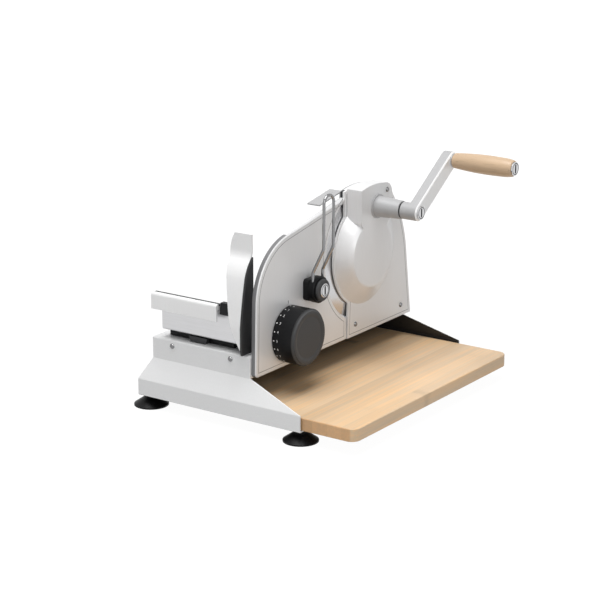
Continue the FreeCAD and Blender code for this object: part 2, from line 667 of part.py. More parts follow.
def make_base_ends():
    """Front and rear of the base, each with its flange, two feet and two screws."""
    ends = [("base_front", "0", "flange_wide", "flare", "Front"),
            ("base_rear", "flange_rear", "rear", "rear - flare - sheet", "Rear")]
    screws = [(x, "base_screw_up", "small_screw + seat_gap / 2")
              for x in ("0 - base_screw_left", "0 - base_screw_right")]
    sink = [("0", "flange_low"), ("foot_screw + seat_gap / 2", "flange_low"),
            ("foot_head + seat_gap / 2", "flange_top"), ("0", "flange_top")]
    for piece, front, rear, wall, side in ends:
        body = cover_shell(piece)
        keep_between(body, front, rear)
        cut(body, "ScrewHoles", "y", wall, wall + " + sheet", screws)
        for name, x, y in foot_places():
            if name.startswith(side):
                turn_z(body, "Sink" + name, x, y, sink, hollow=True)


def foot_places():
    """Name and place of each foot."""
    return [("FrontLeft", "0 - foot_left", "foot_inset"),
            ("FrontRight", "foot_right", "foot_inset"),
            ("RearLeft", "0 - foot_left", "rear - foot_inset"),
            ("RearRight", "foot_right", "rear - foot_inset")]


def rail_screw_places():
    """The rail's three screws along Y."""
    return ["rail_screw_end", "rear / 2", "rear - rail_screw_end"]


def make_feet():
    """Four rubber suction cups under the flanges."""
    body = new_piece("suction_feet")
    cup = [("foot_radius - foot_rim", "0"), ("foot_radius", "0"), ("foot_radius", "foot_rim"),
           ("foot_neck + foot_flare", "foot_shoulder"), ("foot_neck", "foot_shoulder + foot_flare_high"),
           ("foot_neck", "flange_low"), ("foot_screw", "flange_low"),
           ("foot_screw", "foot_hollow + foot_web"), ("0", "foot_hollow + foot_web"), ("0", "foot_hollow"),
           ("foot_neck - foot_arch_in", "foot_hollow - foot_arch")]
    for name, x, y in foot_places():
        turn_z(body, "Cup" + name, x, y, cup)


def make_foot_screws():
    """Sunk screws that hold the cups to the flanges."""
    body = new_piece("foot_screws")
    shank, low = "foot_screw - foot_play", "foot_hollow + foot_web + foot_free"
    screw = [("0", low), (shank, low), (shank, "flange_low"), ("foot_head", "flange_top"),
             ("0", "flange_top")]
    for name, x, y in foot_places():
        turn_z(body, "Screw" + name, x, y, screw)


def make_base_braces():
    """Angles inside the front and rear walls, under the deck."""
    body = new_piece("base_braces")
    left, right = "0 - brace_left", "0 - brace_right"
    top = "deck_under"
    inner = "flare + sheet"
    front = [(inner, top + " - brace_high"), (inner + " + brace_thick", top + " - brace_high"),
             (inner + " + brace_thick", top + " - brace_thick"),
             (inner + " + brace_deep", top + " - brace_thick"), (inner + " + brace_deep", top),
             (inner, top)]
    back = [("rear - (%s)" % y, z) for y, z in reversed(front)]
    add(body, "Angles", "x", left, right, [front, back])
    holes = [(x, "base_screw_up", "small_screw") for x in ("0 - base_screw_left",
                                                           "0 - base_screw_right")]
    cut(body, "FrontHoles", "y", inner, inner + " + brace_thick", holes)
    cut(body, "RearHoles", "y", "rear - (%s + brace_thick)" % inner, "rear - (%s)" % inner, holes)


def make_base_screws():
    """Small round-headed screws through the end walls into the angles."""
    body = new_piece("base_screws")
    tip = "flare + sheet + brace_thick + small_past"
    shape = [("0", "flare - small_rise"), ("small_head - small_bevel", "flare - small_rise"),
             ("small_head", "flare - small_brim"), ("small_head", "flare"),
             ("small_screw - seat_gap / 4", "flare"), ("small_screw - seat_gap / 4", tip), ("0", tip)]
    mirrored = [(r, "rear - (%s)" % y) for r, y in reversed(shape)]
    for name, x in (("Left", "0 - base_screw_left"), ("Right", "0 - base_screw_right")):
        turn_y(body, "Front" + name, x, "base_screw_up", shape)
        turn_y(body, "Rear" + name, x, "base_screw_up", mirrored)


def make_rail():
    """Dovetail rail on the deck that the carriage runs along."""
    body = new_piece("carriage_rail")
    middle = "0 - rail_middle"
    section = [(middle + " - rail_foot / 2", "deck_top"), (middle + " + rail_foot / 2", "deck_top"),
               (middle + " + rail_head / 2", "rail_top"), (middle + " - rail_head / 2", "rail_top")]
    add(body, "Bar", "y", "rail_end", "rear - rail_end", [section])
    for index, y in enumerate(rail_screw_places()):
        sink = [("0", "deck_top"), ("small_screw + seat_gap / 2", "deck_top"),
                ("small_screw + seat_gap / 2", "rail_top - rail_sink"),
                ("small_head + seat_gap / 2", "rail_top - rail_sunk"),
                ("small_head + seat_gap / 2", "rail_top"), ("0", "rail_top")]
        turn_z(body, "Sink%d" % index, middle, y, sink, hollow=True)


def make_rail_screws():
    """Sunk screws of the rail, each with its nut under the deck."""
    body = new_piece("rail_screws")
    shank = "small_screw"
    nut = "deck_under - rail_nut"
    tip = nut + " - screw_end"
    shape = [("0", tip), (shank, tip), (shank, nut), ("small_head", nut),
             ("small_head", "deck_under"), (shank, "deck_under"), (shank, "rail_top - rail_sink"),
             ("small_head", "rail_top - rail_sunk"), ("0", "rail_top - rail_sunk")]
    for index, y in enumerate(rail_screw_places()):
        turn_z(body, "Screw%d" % index, "0 - rail_middle", y, shape)


def make_cutting_board():
    """Bamboo board that lies on the front and rear flanges and slides out to the right."""
    body = new_piece("cutting_board")
    plan = rectangle("0 - board_left", "board_front", "board_right", "rear - board_front")
    add(body, "Plank", "z", "board_low", "board_high", [plan])
    right = value("board_right")
    dress(body, "Corners", "PartDesign::Fillet", "board_corner",
          lambda e: runs_along(e, "z") and abs(e.BoundBox.XMax - right) < NEAR)
    dress(body, "Edges", "PartDesign::Fillet", "board_edge",
          lambda e: lies_at(e, "z", "board_high") or lies_at(e, "z", "board_low"))


# ---------------------------------------------------------------- carriage

def make_carriage_tray():
    """Bent sheet: upright front wall, bend, and the floor that the food lies on."""
    body = new_piece("carriage_tray")
    bent, back = "tray_front + tray_bend", "tray_front + tray_long"
    section = [(bent, "tray_floor"), (back, "tray_floor"), (back, "tray_floor + sheet"),
               (bent, "tray_floor + sheet", ("tray_bend - sheet", True)),
               ("tray_front + sheet", "tray_floor + tray_bend"), ("tray_front + sheet", "tray_top"),
               ("tray_front", "tray_top"),
               ("tray_front", "tray_floor + tray_bend", ("tray_bend", False))]
    add(body, "Sheet", "x", "0 - tray_left", "0 - tray_right", [section])


def make_carriage_shoes():
    """Two shoes that grip the dovetail rail."""
    body = new_piece("carriage_shoes")
    middle = "0 - rail_middle"
    side = "rail_head / 2 + slide_gap"
    under = "rail_foot / 2 + slide_gap + shoe_slack"
    low = "deck_top + slide_gap"
    section = [(middle + " - shoe_wide / 2", low), (middle + " - (%s)" % under, low),
               (middle + " - (%s)" % side, "rail_top + slide_gap"),
               (middle + " + (%s)" % side, "rail_top + slide_gap"),
               (middle + " + (%s)" % under, low), (middle + " + shoe_wide / 2", low),
               (middle + " + shoe_wide / 2", "tray_floor"), (middle + " - shoe_wide / 2", "tray_floor")]
    for name, start in (("Front", "shoe_front"), ("Back", "shoe_back")):
        add(body, name, "y", start, start + " + shoe_long", [section])


def make_carriage_handle():
    """Extruded finger bar along the top of the carriage's front wall."""
    body = new_piece("carriage_handle")
    front = "tray_front - grip_deep"
    inner, under = front + " + grip_lip", "grip_top - grip_body"
    rear, low = "tray_front - grip_sunk", "grip_top - grip_sunk"
    fore = rear + " - grip_groove"
    section = [(front, "grip_low"), (inner, "grip_low"), (inner, under), ("tray_front", under),
               ("tray_front", "grip_top - grip_step"), (rear, "grip_top - grip_step"),
               (rear, low), (fore, low), (fore, "grip_top"),
               (front + " + grip_round", "grip_top", ("grip_round", False)),
               (front, "grip_top - grip_round")]
    add(body, "Bar", "x", "0 - grip_left", "0 - grip_right", [section])


def guard_face(offset):
    """The guard's face at its turn and at its steepest lean, set back by an offset."""
    return "guard_front + " + offset, "guard_lean_in + " + offset


def make_thumb_guard():
    """White shield that leans back towards its top; its left edge sweeps in below."""
    body = new_piece("thumb_guard")
    front, lean = guard_face("0")
    front_in, lean_in = guard_face("guard_wall")
    back, back_in = "guard_back", "guard_back + guard_wall"
    side = [(front_in, "guard_low"), (front_in, "guard_turn", ("guard_lower_round", True)),
            (lean_in, "guard_lean", ("guard_upper_round", True)), (back_in, "guard_bend"),
            (back_in, "guard_top"), (back, "guard_top"),
            (back, "guard_bend", ("guard_upper_round", False)),
            (lean, "guard_lean", ("guard_lower_round", False)), (front, "guard_turn"),
            (front, "guard_low")]
    add(body, "Shell", "x", "0 - guard_left", "0 - guard_right", [side])
    edge, outside = "0 - guard_left", "0 - guard_left - " + PAST
    behind = "guard_back + guard_wall + " + PAST
    shoulder, corner = "guard_top - guard_corner_high", edge + " + guard_corner_wide"
    sweep = [(outside, "guard_low - " + PAST), ("0 - guard_right", "guard_low - " + PAST),
             ("0 - guard_right", "guard_low", ("guard_sweep", True)),
             ("0 - guard_hip", "guard_hip_up"), (edge, shoulder), (outside, shoulder)]
    cut(body, "Sweep", "y", "0", behind, [sweep])
    top_left = [(outside, shoulder), (edge, shoulder, ("guard_corner", True)), (corner, "guard_top"),
                (corner, "guard_top + " + PAST), (outside, "guard_top + " + PAST)]
    cut(body, "Corner", "y", "0", behind, [top_left])
    dress(body, "FrontBend", "PartDesign::Fillet", "guard_round",
          lambda edge: lies_at(edge, "y", "guard_back") and lies_at(edge, "z", "guard_bend"))
    dress(body, "RearBend", "PartDesign::Fillet", "guard_round + guard_wall",
          lambda edge: lies_at(edge, "y", back_in) and lies_at(edge, "z", "guard_bend"))


def make_guard_cheek():
    """Dark side plate of the guard that runs close beside the blade."""
    body = new_piece("guard_cheek")
    front, lean = guard_face("0")
    side = [("guard_front + cheek_inset", "cheek_low"), ("guard_back", "cheek_low"),
            ("guard_back", "guard_bend", ("guard_upper_round", False)),
            (lean, "guard_lean", ("guard_lower_round", False)), (front, "guard_turn"),
            (front, "guard_low")]
    add(body, "Plate", "x", "0 - guard_right", "cheek_thick - guard_right", [side])


def make_guard_holder():
    """Block that carries the guard on the carriage's front wall."""
    body = new_piece("guard_holder")
    plan = rectangle("0 - block_left", "guard_front", "0 - tray_right", "tray_front")
    add(body, "Block", "z", "block_low", "block_top", [plan])
    front, lean = guard_face("guard_wall + seat_gap")
    before = "guard_front - " + OVERSHOOT
    seat = [(before, "guard_low"), (front, "guard_low"),
            (front, "guard_turn", ("guard_lower_round", True)), (lean, "guard_lean"),
            (before, "guard_lean")]
    cut(body, "Seat", "x", "0 - block_left", "0 - tray_right", [seat])


# ---------------------------------------------------------------- stop plate and knob

def make_stop_plate():
    """Upright plate that the food leans on; it moves to the right for thicker slices."""
    body = new_piece("stop_plate")
    edge = "stop_front"
    shape = [(edge + " + stop_corner", "panel_low"), ("stop_rear", "panel_low"),
             ("stop_rear", "blade_z - sqrt(blade_room ^ 2 - (blade_y - stop_rear) ^ 2)",
              ("blade_room", True)),
             ("stop_tip_y", "blade_z + sqrt(blade_room ^ 2 - (blade_y - stop_tip_y) ^ 2)"),
             ("stop_tip_y", "stop_tip_z"), ("stop_top_y", "stop_top_z", ("stop_round", False)),
             ("stop_round_y - stop_round", "stop_round_z"),
             (edge, "panel_low + stop_corner", ("stop_corner", False))]
    add(body, "Plate", "x", "0", "panel", [shape])
    dress(body, "Bevel", "PartDesign::Chamfer", "panel_edge", lambda e: lies_at(e, "x", "panel"))
    holes = [("knob_y", "knob_z", "spindle"), ("hinge_y", "hinge_z", "hinge_stud"),
             ("knob_y", "guide_up", "follower_slot")]
    cut(body, "Holes", "x", "0", "panel", holes)


def make_guide_rods():
    """Two rods on the stop plate's back that carry it through the base wall."""
    body = new_piece("guide_rods")
    for name, y in (("Front", "guide_front"), ("Rear", "guide_rear")):
        turn_x(body, name, y, "guide_up", rod("0 - guide_long", "0", "guide_rod"))


def make_guide_bushes():
    """Flanged bushes of the guide rods in the base wall."""
    body = new_piece("guide_bushes")
    end = "wall_right - guide_bush_long"
    seat = "wall_left - guide_flange_thick"
    shape = [(end, "guide_rod + running"), ("wall_right", "guide_rod + running"),
             ("wall_right", "guide_bush"), ("wall_left", "guide_bush"), ("wall_left", "guide_flange"),
             (seat, "guide_flange"), (seat, "guide_bush"), (end, "guide_bush")]
    for name, y in (("Front", "guide_front"), ("Rear", "guide_rear")):
        turn_x(body, name, y, "guide_up", shape)


def make_follower():
    """Fixed pin in the base wall whose tip stands in the knob's cam groove."""
    body = new_piece("cam_follower")
    end = "wall_left - follower_nut_high"
    turn_x(body, "Stem", "knob_y", "guide_up", rod(end, "cam_tip + follower", "follower"))
    turn_x(body, "Nut", "knob_y", "guide_up", rod(end, "wall_left", "follower_nut"))
    top = "knob_z - drum_radius + drum_sunk - follower_free"
    add(body, "Peg", "z", "guide_up", top, [("cam_tip", "knob_y", "follower - running")])


def make_knob_spindle():
    """Spindle on the stop plate that the knob turns on."""
    body = new_piece("knob_spindle")
    shape = [("0", "0"), ("panel + spindle_long", "0"), ("panel + spindle_long", "spindle"),
             ("knob_left - seat_gap", "spindle"), ("knob_left - seat_gap", "spindle_flange"),
             ("panel", "spindle_flange"), ("panel", "spindle"), ("0", "spindle")]
    turn_x(body, "Pin", "knob_y", "knob_z", shape)


def make_thickness_knob():
    """Round knob with a hollow back and a cam drum in its middle."""
    body = new_piece("thickness_knob")
    bore = "spindle + running"
    end = "panel + spindle_long + spindle_free"
    shape = [("knob_left", bore), (end, bore), (end, "0"), ("knob_right - knob_dish", "0"),
             ("knob_right - knob_dish", "knob_radius - knob_brim - knob_cone"),
             ("knob_right", "knob_radius - knob_brim"),
             ("knob_right", "knob_radius - knob_rim", ("knob_rim", True)),
             ("knob_right - knob_rim", "knob_radius"), ("knob_left", "knob_radius"),
             ("knob_left", "knob_radius - knob_wall"), ("knob_inside", "knob_radius - knob_wall"),
             ("knob_inside", "drum_radius"), ("knob_left", "drum_radius")]
    turn_x(body, "Shell", "knob_y", "knob_z", shape)
    floor = "drum_radius - drum_sunk"
    cut(body, "GrooveStart", "z", "knob_z - drum_radius - " + CLEAR, "knob_z - (%s)" % floor,
        [("cam_tip", "knob_y", "drum_groove / 2")])
    section = new_sketch(body, "GrooveSection", "y", "knob_y", ("0", "knob_z"))
    draw(section, [rectangle("cam_tip - drum_groove / 2", "0 - drum_radius - 1",
                             "cam_tip + drum_groove / 2", "0 - (%s)" % floor)])
    groove = body.newObject("PartDesign::SubtractiveHelix", "CamGroove")
    groove.Profile = section
    groove.ReferenceAxis = (section, ["H_Axis"])
    groove.Mode = "pitch-turns-angle"
    groove.setExpression("Pitch", expr("slice_max * 360 / knob_turn"))
    groove.setExpression("Turns", expr("(knob_turn + cam_spare) / 360"))
    groove.Angle = 0
    groove.Reversed = True


# ---------------------------------------------------------------- gear housing and blade

def housing_outline():
    """Outline of the fixed housing, counter-clockwise from its lower front corner."""
    return [("house_front", "panel_low"), ("house_rear", "panel_low"),
            ("house_shoulder_y", "house_shoulder_z", ("house_rear_round", False)),
            ("house_back_y", "house_back_z", ("house_top_round", False)),
            ("house_top_y", "house_top_z", ("house_crest_round", False)),
            ("house_crest_y", "house_crest_z"),
            ("bulge_y - sqrt(bulge ^ 2 - (bulge_high - bulge_z) ^ 2)", "bulge_high", ("bulge", False)),
            ("bulge_y - sqrt(bulge ^ 2 - (bulge_low - bulge_z) ^ 2)", "bulge_low")]


def make_gear_housing():
    """Fixed upright panel with the round room that the blade turns in."""
    body = new_piece("gear_housing")
    add(body, "Panel", "x", "0", "panel", [housing_outline()])
    cut(body, "BladeRoom", "x", "0", "room_right", [("blade_y", "blade_z", "blade_room")])
    cut(body, "GearRoom", "x", "room_right", "panel", [("bulge_y", "bulge_z", "dome_room")])
    cut(body, "CrankRoom", "x", "room_right", "panel", [("crank_y", "crank_z", "crank_room")])
    screws = [(y, "house_screw_up", "small_screw + seat_gap / 2")
              for y in ("house_screw_front", "house_screw_rear")]
    cut(body, "ScrewHoles", "x", "0", "panel", screws)


def make_gear_cover():
    """Dome over the blade gear and head over the crank gear, seated on the panel."""
    body = new_piece("gear_cover")
    inner, hollow = "dome_right - house_wall", ("dome_y", "dome_z", "dome_flat - house_wall")
    add(body, "Core", "x", "panel", inner, [hollow])
    join_sections(body, "Dome", "x", [("panel", ("bulge_y", "bulge_z", "dome_radius")),
                                      ("dome_right", ("dome_y", "dome_z", "dome_flat"))])
    dress(body, "DomeEdge", "PartDesign::Fillet", "dome_round",
          lambda edge: lies_at(edge, "x", "dome_right"))
    head = [("head_front", "head_low"), ("dome_y", "dome_z"), ("head_rear", "head_low"),
            ("head_rear", "head_top - head_round", ("head_round", False)),
            ("head_rear - head_round", "head_top", ("head_crest", False)),
            ("head_front", "head_top - head_fall")]
    add(body, "Head", "x", "panel", "dome_right", [head])
    join_sections(body, "DomeRoom", "x",
                  [("room_right", ("bulge_y", "bulge_z", "dome_room")), (inner, hollow)], True)
    cut(body, "CrankRoom", "x", "panel", "bore_left", [("crank_y", "crank_z", "crank_room")])
    boss = "gear_right + seat_gap"
    add(body, "Boss", "x", boss, inner, [("blade_y", "blade_z", "shaft + boss_wall")])
    cut(body, "ShaftBore", "x", boss, "shaft_end", [("blade_y", "blade_z", "shaft + running")])
    cut(body, "TubeBore", "x", "bore_left", "dome_right",
        [("crank_y", "crank_z", "shaft + bush_wall + tube_socket")])
    cut(body, "HeadScrewHole", "x", "dome_right - head_screw_long - seat_gap", "dome_right",
        [("head_screw_y", "head_screw_z", "small_screw")])


def make_housing_screws():
    """Screws through the housing into nuts behind the base wall."""
    body = new_piece("housing_screws")
    left = "wall_left - house_nut_high"
    tip = left + " - screw_end"
    shape = [(tip, "0"), ("panel + small_rise", "0"),
             ("panel + small_rise", "small_head - small_bevel"), ("panel + small_brim", "small_head"),
             ("panel", "small_head"), ("panel", "small_screw"), ("wall_left", "small_screw"),
             ("wall_left", "house_nut"), (left, "house_nut"), (left, "small_screw"),
             (tip, "small_screw")]
    for name, y in (("Front", "house_screw_front"), ("Rear", "house_screw_rear")):
        turn_x(body, name, y, "house_screw_up", shape)


def make_head_screw():
    """Small screw in the head's face."""
    body = new_piece("head_screw")
    right = "dome_right"
    tip = right + " - head_screw_long"
    shape = [(tip, "0"), (right + " + small_rise", "0"),
             (right + " + small_rise", "small_head - small_bevel"),
             (right + " + small_brim", "small_head"),
             (right, "small_head"), (right, "small_screw - running"), (tip, "small_screw - running")]
    turn_x(body, "Screw", "head_screw_y", "head_screw_z", shape)


def make_blade_guard():
    """Guard ring on the left side of the blade with the flap over the stop plate."""
    body = new_piece("blade_guard")
    add(body, "Ring", "x", "shield_left", "shield_right", [housing_outline()])
    before = "house_front - blade_room"
    lower = rectangle(before, "panel_low - " + PAST, "house_rear + " + PAST, "shield_low")
    opening = [(before, "shield_low"), ("blade_y", "shield_low"), ("blade_y", "blade_z"),
               ("house_crest_y", "blade_z + shield_front"), (before, "blade_z + shield_front")]
    cut(body, "Lower", "x", "shield_left", "shield_right", [lower])
    cut(body, "Inside", "x", "shield_left", "shield_right", [("blade_y", "blade_z", "shield_inner")])
    cut(body, "Front", "x", "shield_left", "shield_right", [opening])
    rear, high = "house_crest_y + flap_rear", "house_crest_z - flap_sunk"
    low = high + " - (%s - flap_front) * tan(flap_fall * 1 deg)" % rear
    flap = [("flap_front", low), (rear, high), (rear, high + " + sheet"),
            ("flap_front", low + " + sheet")]
    add(body, "Flap", "x", "0 - flap_left", "shield_right", [flap])


def make_blade():
    """Round blade with a ground bevel and a scalloped edge."""
    body = new_piece("blade")
    left, right = "blade_left", "blade_right"
    inner = "blade_radius - blade_bevel"
    shape = [(left, "blade_bore"), (right, "blade_bore"), (right, inner),
             (left + " + blade_edge", "blade_radius"), (left, "blade_radius")]
    disc = turn_x(body, "Disc", "blade_y", "blade_z", shape)
    scallop = cut(body, "Scallop", "x", left, right,
                  [("blade_y", "blade_z + blade_radius + scallop_out", "scallop")])
    doc.recompute()
    pattern = body.newObject("PartDesign::PolarPattern", "Scallops")
    pattern.Originals = [scallop]
    pattern.Axis = (disc.Profile[0], ["H_Axis"])
    pattern.Angle = 360
    pattern.setExpression("Occurrences", expr("blade_teeth"))
    body.Tip = pattern


# ---------------------------------------------------------------- drive

def gear_wire(teeth, centre, tooth_first):
    """Closed outline of a spur gear about a centre, across X."""
    module = value("gear_module")
    pitch = module * teeth / 2
    base = pitch * math.cos(math.radians(20))
    tip = pitch + module
    root = pitch - 1.25 * module

    def half_tooth(radius):
        lean = math.acos(min(base / max(radius, base), 1))
        roll = math.radians(20)
        spread = math.tan(roll) - roll - math.tan(lean) + lean
        return math.pi / (2 * teeth) - value("backlash") / (4 * pitch) + spread

    flank = [(root, half_tooth(base)), (max(base, root + 0.1), half_tooth(base)),
             (pitch, half_tooth(pitch)), (tip, half_tooth(tip))]
    spots = []
    for tooth in range(teeth):
        middle = tooth_first + 2 * math.pi * tooth / teeth
        side = [(r, middle - half) for r, half in flank]
        side += [(r, middle + half) for r, half in reversed(flank)]
        spots += [centre + Vector(0, r * math.cos(a), r * math.sin(a)) for r, a in side]
    return Part.makePolygon(spots + spots[:1])


def make_gear(label, teeth, y, z, tooth_first):
    """A spur gear with a shaft hole, as one extruded outline."""
    centre = point("gear_left", y, z)
    wide = value("gear_wide")
    blank = Part.Face(gear_wire(teeth, centre, tooth_first)).extrude(Vector(wide, 0, 0))
    hole = Part.makeCylinder(value("shaft"), wide, centre, Vector(1, 0, 0))
    piece = doc.addObject("Part::Feature", label)
    piece.Label = label
    piece.Shape = blank.cut(hole)
    return place(piece)


def mesh_angles():
    """First tooth of each gear, so that a crank tooth stands in a gap of the blade gear."""
    down = math.atan2(value("blade_z - crank_z"), value("blade_y - crank_y"))
    up = down + math.pi
    return down, up + math.pi / value("blade_gear_teeth")


def make_drive_gears():
    """The small gear on the crank shaft and the large one behind the blade."""
    crank_first, blade_first = mesh_angles()
    make_gear("crank_gear", int(value("crank_teeth")), "crank_y", "crank_z", crank_first)
    make_gear("blade_gear", int(value("blade_gear_teeth")), "blade_y", "blade_z", blade_first)


def make_blade_shaft():
    """Shaft of the blade in the housing's boss, with the collar that the blade sits against."""
    body = new_piece("blade_shaft")
    end = "shaft_end - seat_gap"
    shape = [("blade_left", "0"), (end, "0"), (end, "shaft"), ("gear_left", "shaft"),
             ("gear_left", "shaft + shaft_collar"), ("blade_right", "shaft + shaft_collar"),
             ("blade_right", "blade_bore"), ("blade_left", "blade_bore")]
    turn_x(body, "Shaft", "blade_y", "blade_z", shape)


def make_blade_lock():
    """Flat slotted lock on the left side of the blade."""
    body = new_piece("blade_lock")
    left = "blade_left - lock_thick"
    shape = [(left, "0"), ("blade_left", "0"), ("blade_left", "lock_radius"),
             (left + " + lock_edge", "lock_radius"), (left, "lock_radius - lock_edge")]
    turn_x(body, "Disc", "blade_y", "blade_z", shape)
    slot = rectangle("blade_y - lock_radius", "blade_z - slot_wide", "blade_y + lock_radius",
                     "blade_z + slot_wide")
    cut(body, "Slot", "x", left, left + " + lock_sunk", [slot])


def make_bearing_tube():
    """Tapered tube on the head with a collar; it carries the crank shaft."""
    body = new_piece("bearing_tube")
    inner = "bore_left"
    bore = "shaft + bush_wall"
    shape = [(inner, bore), ("tube_end", bore), ("tube_end", "tube_tip - tube_edge"),
             ("tube_end - tube_edge", "tube_tip"), ("dome_right + collar_thick", "tube_foot"),
             ("dome_right + collar_thick", "collar"), ("dome_right", "collar"),
             ("dome_right", "shaft + bush_wall + tube_socket"), (inner, "shaft + bush_wall + tube_socket")]
    turn_x(body, "Tube", "crank_y", "crank_z", shape)


def make_tube_bushes():
    """Two plain bushes inside the bearing tube."""
    body = new_piece("tube_bushes")
    for name, start in (("Inner", "bore_left"), ("Outer", "tube_end - bush_long")):
        turn_x(body, name, "crank_y", "crank_z",
               tube(start, start + " + bush_long", "shaft + running", "shaft + bush_wall"))


def make_crank_shaft():
    """Shaft from the crank gear through the bearing tube into the arm."""
    body = new_piece("crank_shaft")
    turn_x(body, "Shaft", "crank_y", "crank_z", rod("gear_left", "shaft_tip", "shaft"))
    ring = tube("gear_right", "bore_left - seat_gap", "shaft", "shaft + shaft_shoulder")
    turn_x(body, "Shoulder", "crank_y", "crank_z", ring)


def make_crank_seal():
    """Dark ring between the bearing tube and the hub."""
    body = new_piece("crank_seal")
    start = "tube_end + seat_gap"
    turn_x(body, "Ring", "crank_y", "crank_z",
           tube(start, start + " + seal_thick", "shaft", "seal_radius"))


def make_crank_arm():
    """Flat arm with full round ends, its hub on the shaft and its eye for the grip."""
    body = new_piece("crank_arm")
    turn_x(body, "Hub", "crank_y", "crank_z",
           rod("hub_left", "arm_left", "hub_radius"))
    across = "arm_wide / 2 * sin(arm_angle * 1 deg)"
    up = "arm_wide / 2 * cos(arm_angle * 1 deg)"
    bar = [("crank_y + " + across, "crank_z - " + up), ("grip_y + " + across, "grip_z - " + up),
           ("grip_y - " + across, "grip_z + " + up), ("crank_y - " + across, "crank_z + " + up)]
    add(body, "Bar", "x", "arm_left", "arm_right", [bar])
    add(body, "HubEnd", "x", "arm_left", "arm_right", [("crank_y", "crank_z", "arm_wide / 2")])
    add(body, "GripEnd", "x", "arm_left", "arm_right", [("grip_y", "grip_z", "arm_wide / 2")])
    dress(body, "Edges", "PartDesign::Chamfer", "arm_edge", lambda e: lies_at(e, "x", "arm_right"))
    cut(body, "ShaftBore", "x", "hub_left", "shaft_tip", [("crank_y", "crank_z", "shaft")])
    cut(body, "ScrewBore", "x", "shaft_tip", "arm_right", [("crank_y", "crank_z", "cap_shank")])
    cut(body, "GripBore", "x", "arm_left", "arm_right", [("grip_y", "grip_z", "grip_axle")])


def cut_slot(body, face, y, z):
    """A driver's slot across a cap's face."""
    slot = rectangle(y + " - cap_radius - " + CLEAR, z + " - slot_wide / 2",
                     y + " + cap_radius + " + CLEAR, z + " + slot_wide / 2")
    cut(body, "Slot", "x", face + " - slot_sunk", face, [slot])


def slotted_cap(body, start, y, z, shank):
    """A flat cap with a slot, on a shank that reaches back to the left."""
    face, tip = start + " + cap_thick", start + " - cap_screwed"
    shape = [(tip, "0"), (face, "0"), (face, "cap_radius - cap_edge"),
             (face + " - cap_edge", "cap_radius"), (start, "cap_radius"), (start, shank), (tip, shank)]
    turn_x(body, "Cap", y, z, shape)
    cut_slot(body, face, y, z)


def make_crank_screw():
    """Slotted cap screw at the crank's hub."""
    slotted_cap(new_piece("crank_screw"), "arm_right", "crank_y", "crank_z", "cap_shank")


def make_grip_screw():
    """Slotted cap screw at the far end of the grip."""
    slotted_cap(new_piece("grip_screw"), "grip_end", "grip_y", "grip_z", "grip_shank")


def make_grip_axle():
    """Axle pressed in the arm's eye; the grip turns on it."""
    body = new_piece("grip_axle")
    floor, collar = "grip_end - cap_screwed", "arm_right + axle_collar"
    shape = [("arm_left", "0"), (floor, "0"), (floor, "grip_shank"), ("grip_end", "grip_shank"),
             ("grip_end", "grip_axle"), (collar, "grip_axle"), (collar, "grip_small - grip_edge"),
             ("arm_right", "grip_small - grip_edge"), ("arm_right", "grip_axle"),
             ("arm_left", "grip_axle")]
    turn_x(body, "Axle", "grip_y", "grip_z", shape)


def make_crank_grip():
    """Barrel-shaped wooden grip."""
    body = new_piece("crank_grip")
    end = "grip_end - seat_gap"
    shape = [("grip_start", "grip_axle + running"), (end, "grip_axle + running"),
             (end, "grip_tip - grip_edge"), (end + " - grip_edge", "grip_tip", ("grip_far_curve", False)),
             ("grip_start + grip_big_at", "grip_big", ("grip_near_curve", False)),
             ("grip_start + grip_edge", "grip_small"), ("grip_start", "grip_small - grip_edge")]
    turn_x(body, "Barrel", "grip_y", "grip_z", shape)


# ---------------------------------------------------------------- deflector

def make_deflector_base():
    """Square base on the stop plate with the stud that the deflector turns on."""
    body = new_piece("deflector_base")
    half = "hinge_base / 2"
    side = rectangle("hinge_y - " + half, "hinge_z - " + half, "hinge_y + " + half, "hinge_z + " + half)
    end = "panel + hinge_base_thick"
    add(body, "Block", "x", "panel", end, [side])
    dress(body, "Corners", "PartDesign::Fillet", "hinge_corner", lambda e: runs_along(e, "x"))
    turn_x(body, "Stud", "hinge_y", "hinge_z", rod("0", "panel", "hinge_stud - running"))
    tip = "hinge_knob_end - hinge_face - stud_free"
    turn_x(body, "Pivot", "hinge_y", "hinge_z", rod(end, tip, "hinge_stud"))


def make_deflector_knob():
    """Stepped round knob that holds the wire bow."""
    body = new_piece("deflector_knob")
    start, end = "hinge_knob_start", "hinge_knob_end"
    step = end + " - hinge_step_thick"
    bore, floor = "hinge_stud + running", end + " - hinge_face"
    shape = [(start, bore), (floor, bore), (floor, "0"), (end, "0"),
             (end, "hinge_step - hinge_edge"), (end + " - hinge_edge", "hinge_step"),
             (step, "hinge_step"), (step, "hinge_knob - hinge_edge"),
             (step + " - hinge_edge", "hinge_knob"), (start, "hinge_knob")]
    turn_x(body, "Knob", "hinge_y", "hinge_z", shape)
    legs = [("wire_start", y, "wire") for y in ("hinge_y - wire_half", "hinge_y + wire_half")]
    cut(body, "LegHoles", "z", "hinge_z + wire_held", "hinge_z + hinge_knob", legs)


def make_deflector_screw():
    """Slotted bright disc on the deflector's knob."""
    body = new_piece("deflector_screw")
    start = "hinge_knob_end"
    face = start + " + cap_thick"
    turn_x(body, "Disc", "hinge_y", "hinge_z", rod(start, face, "cap_radius"))
    cut_slot(body, face, "hinge_y", "hinge_z")


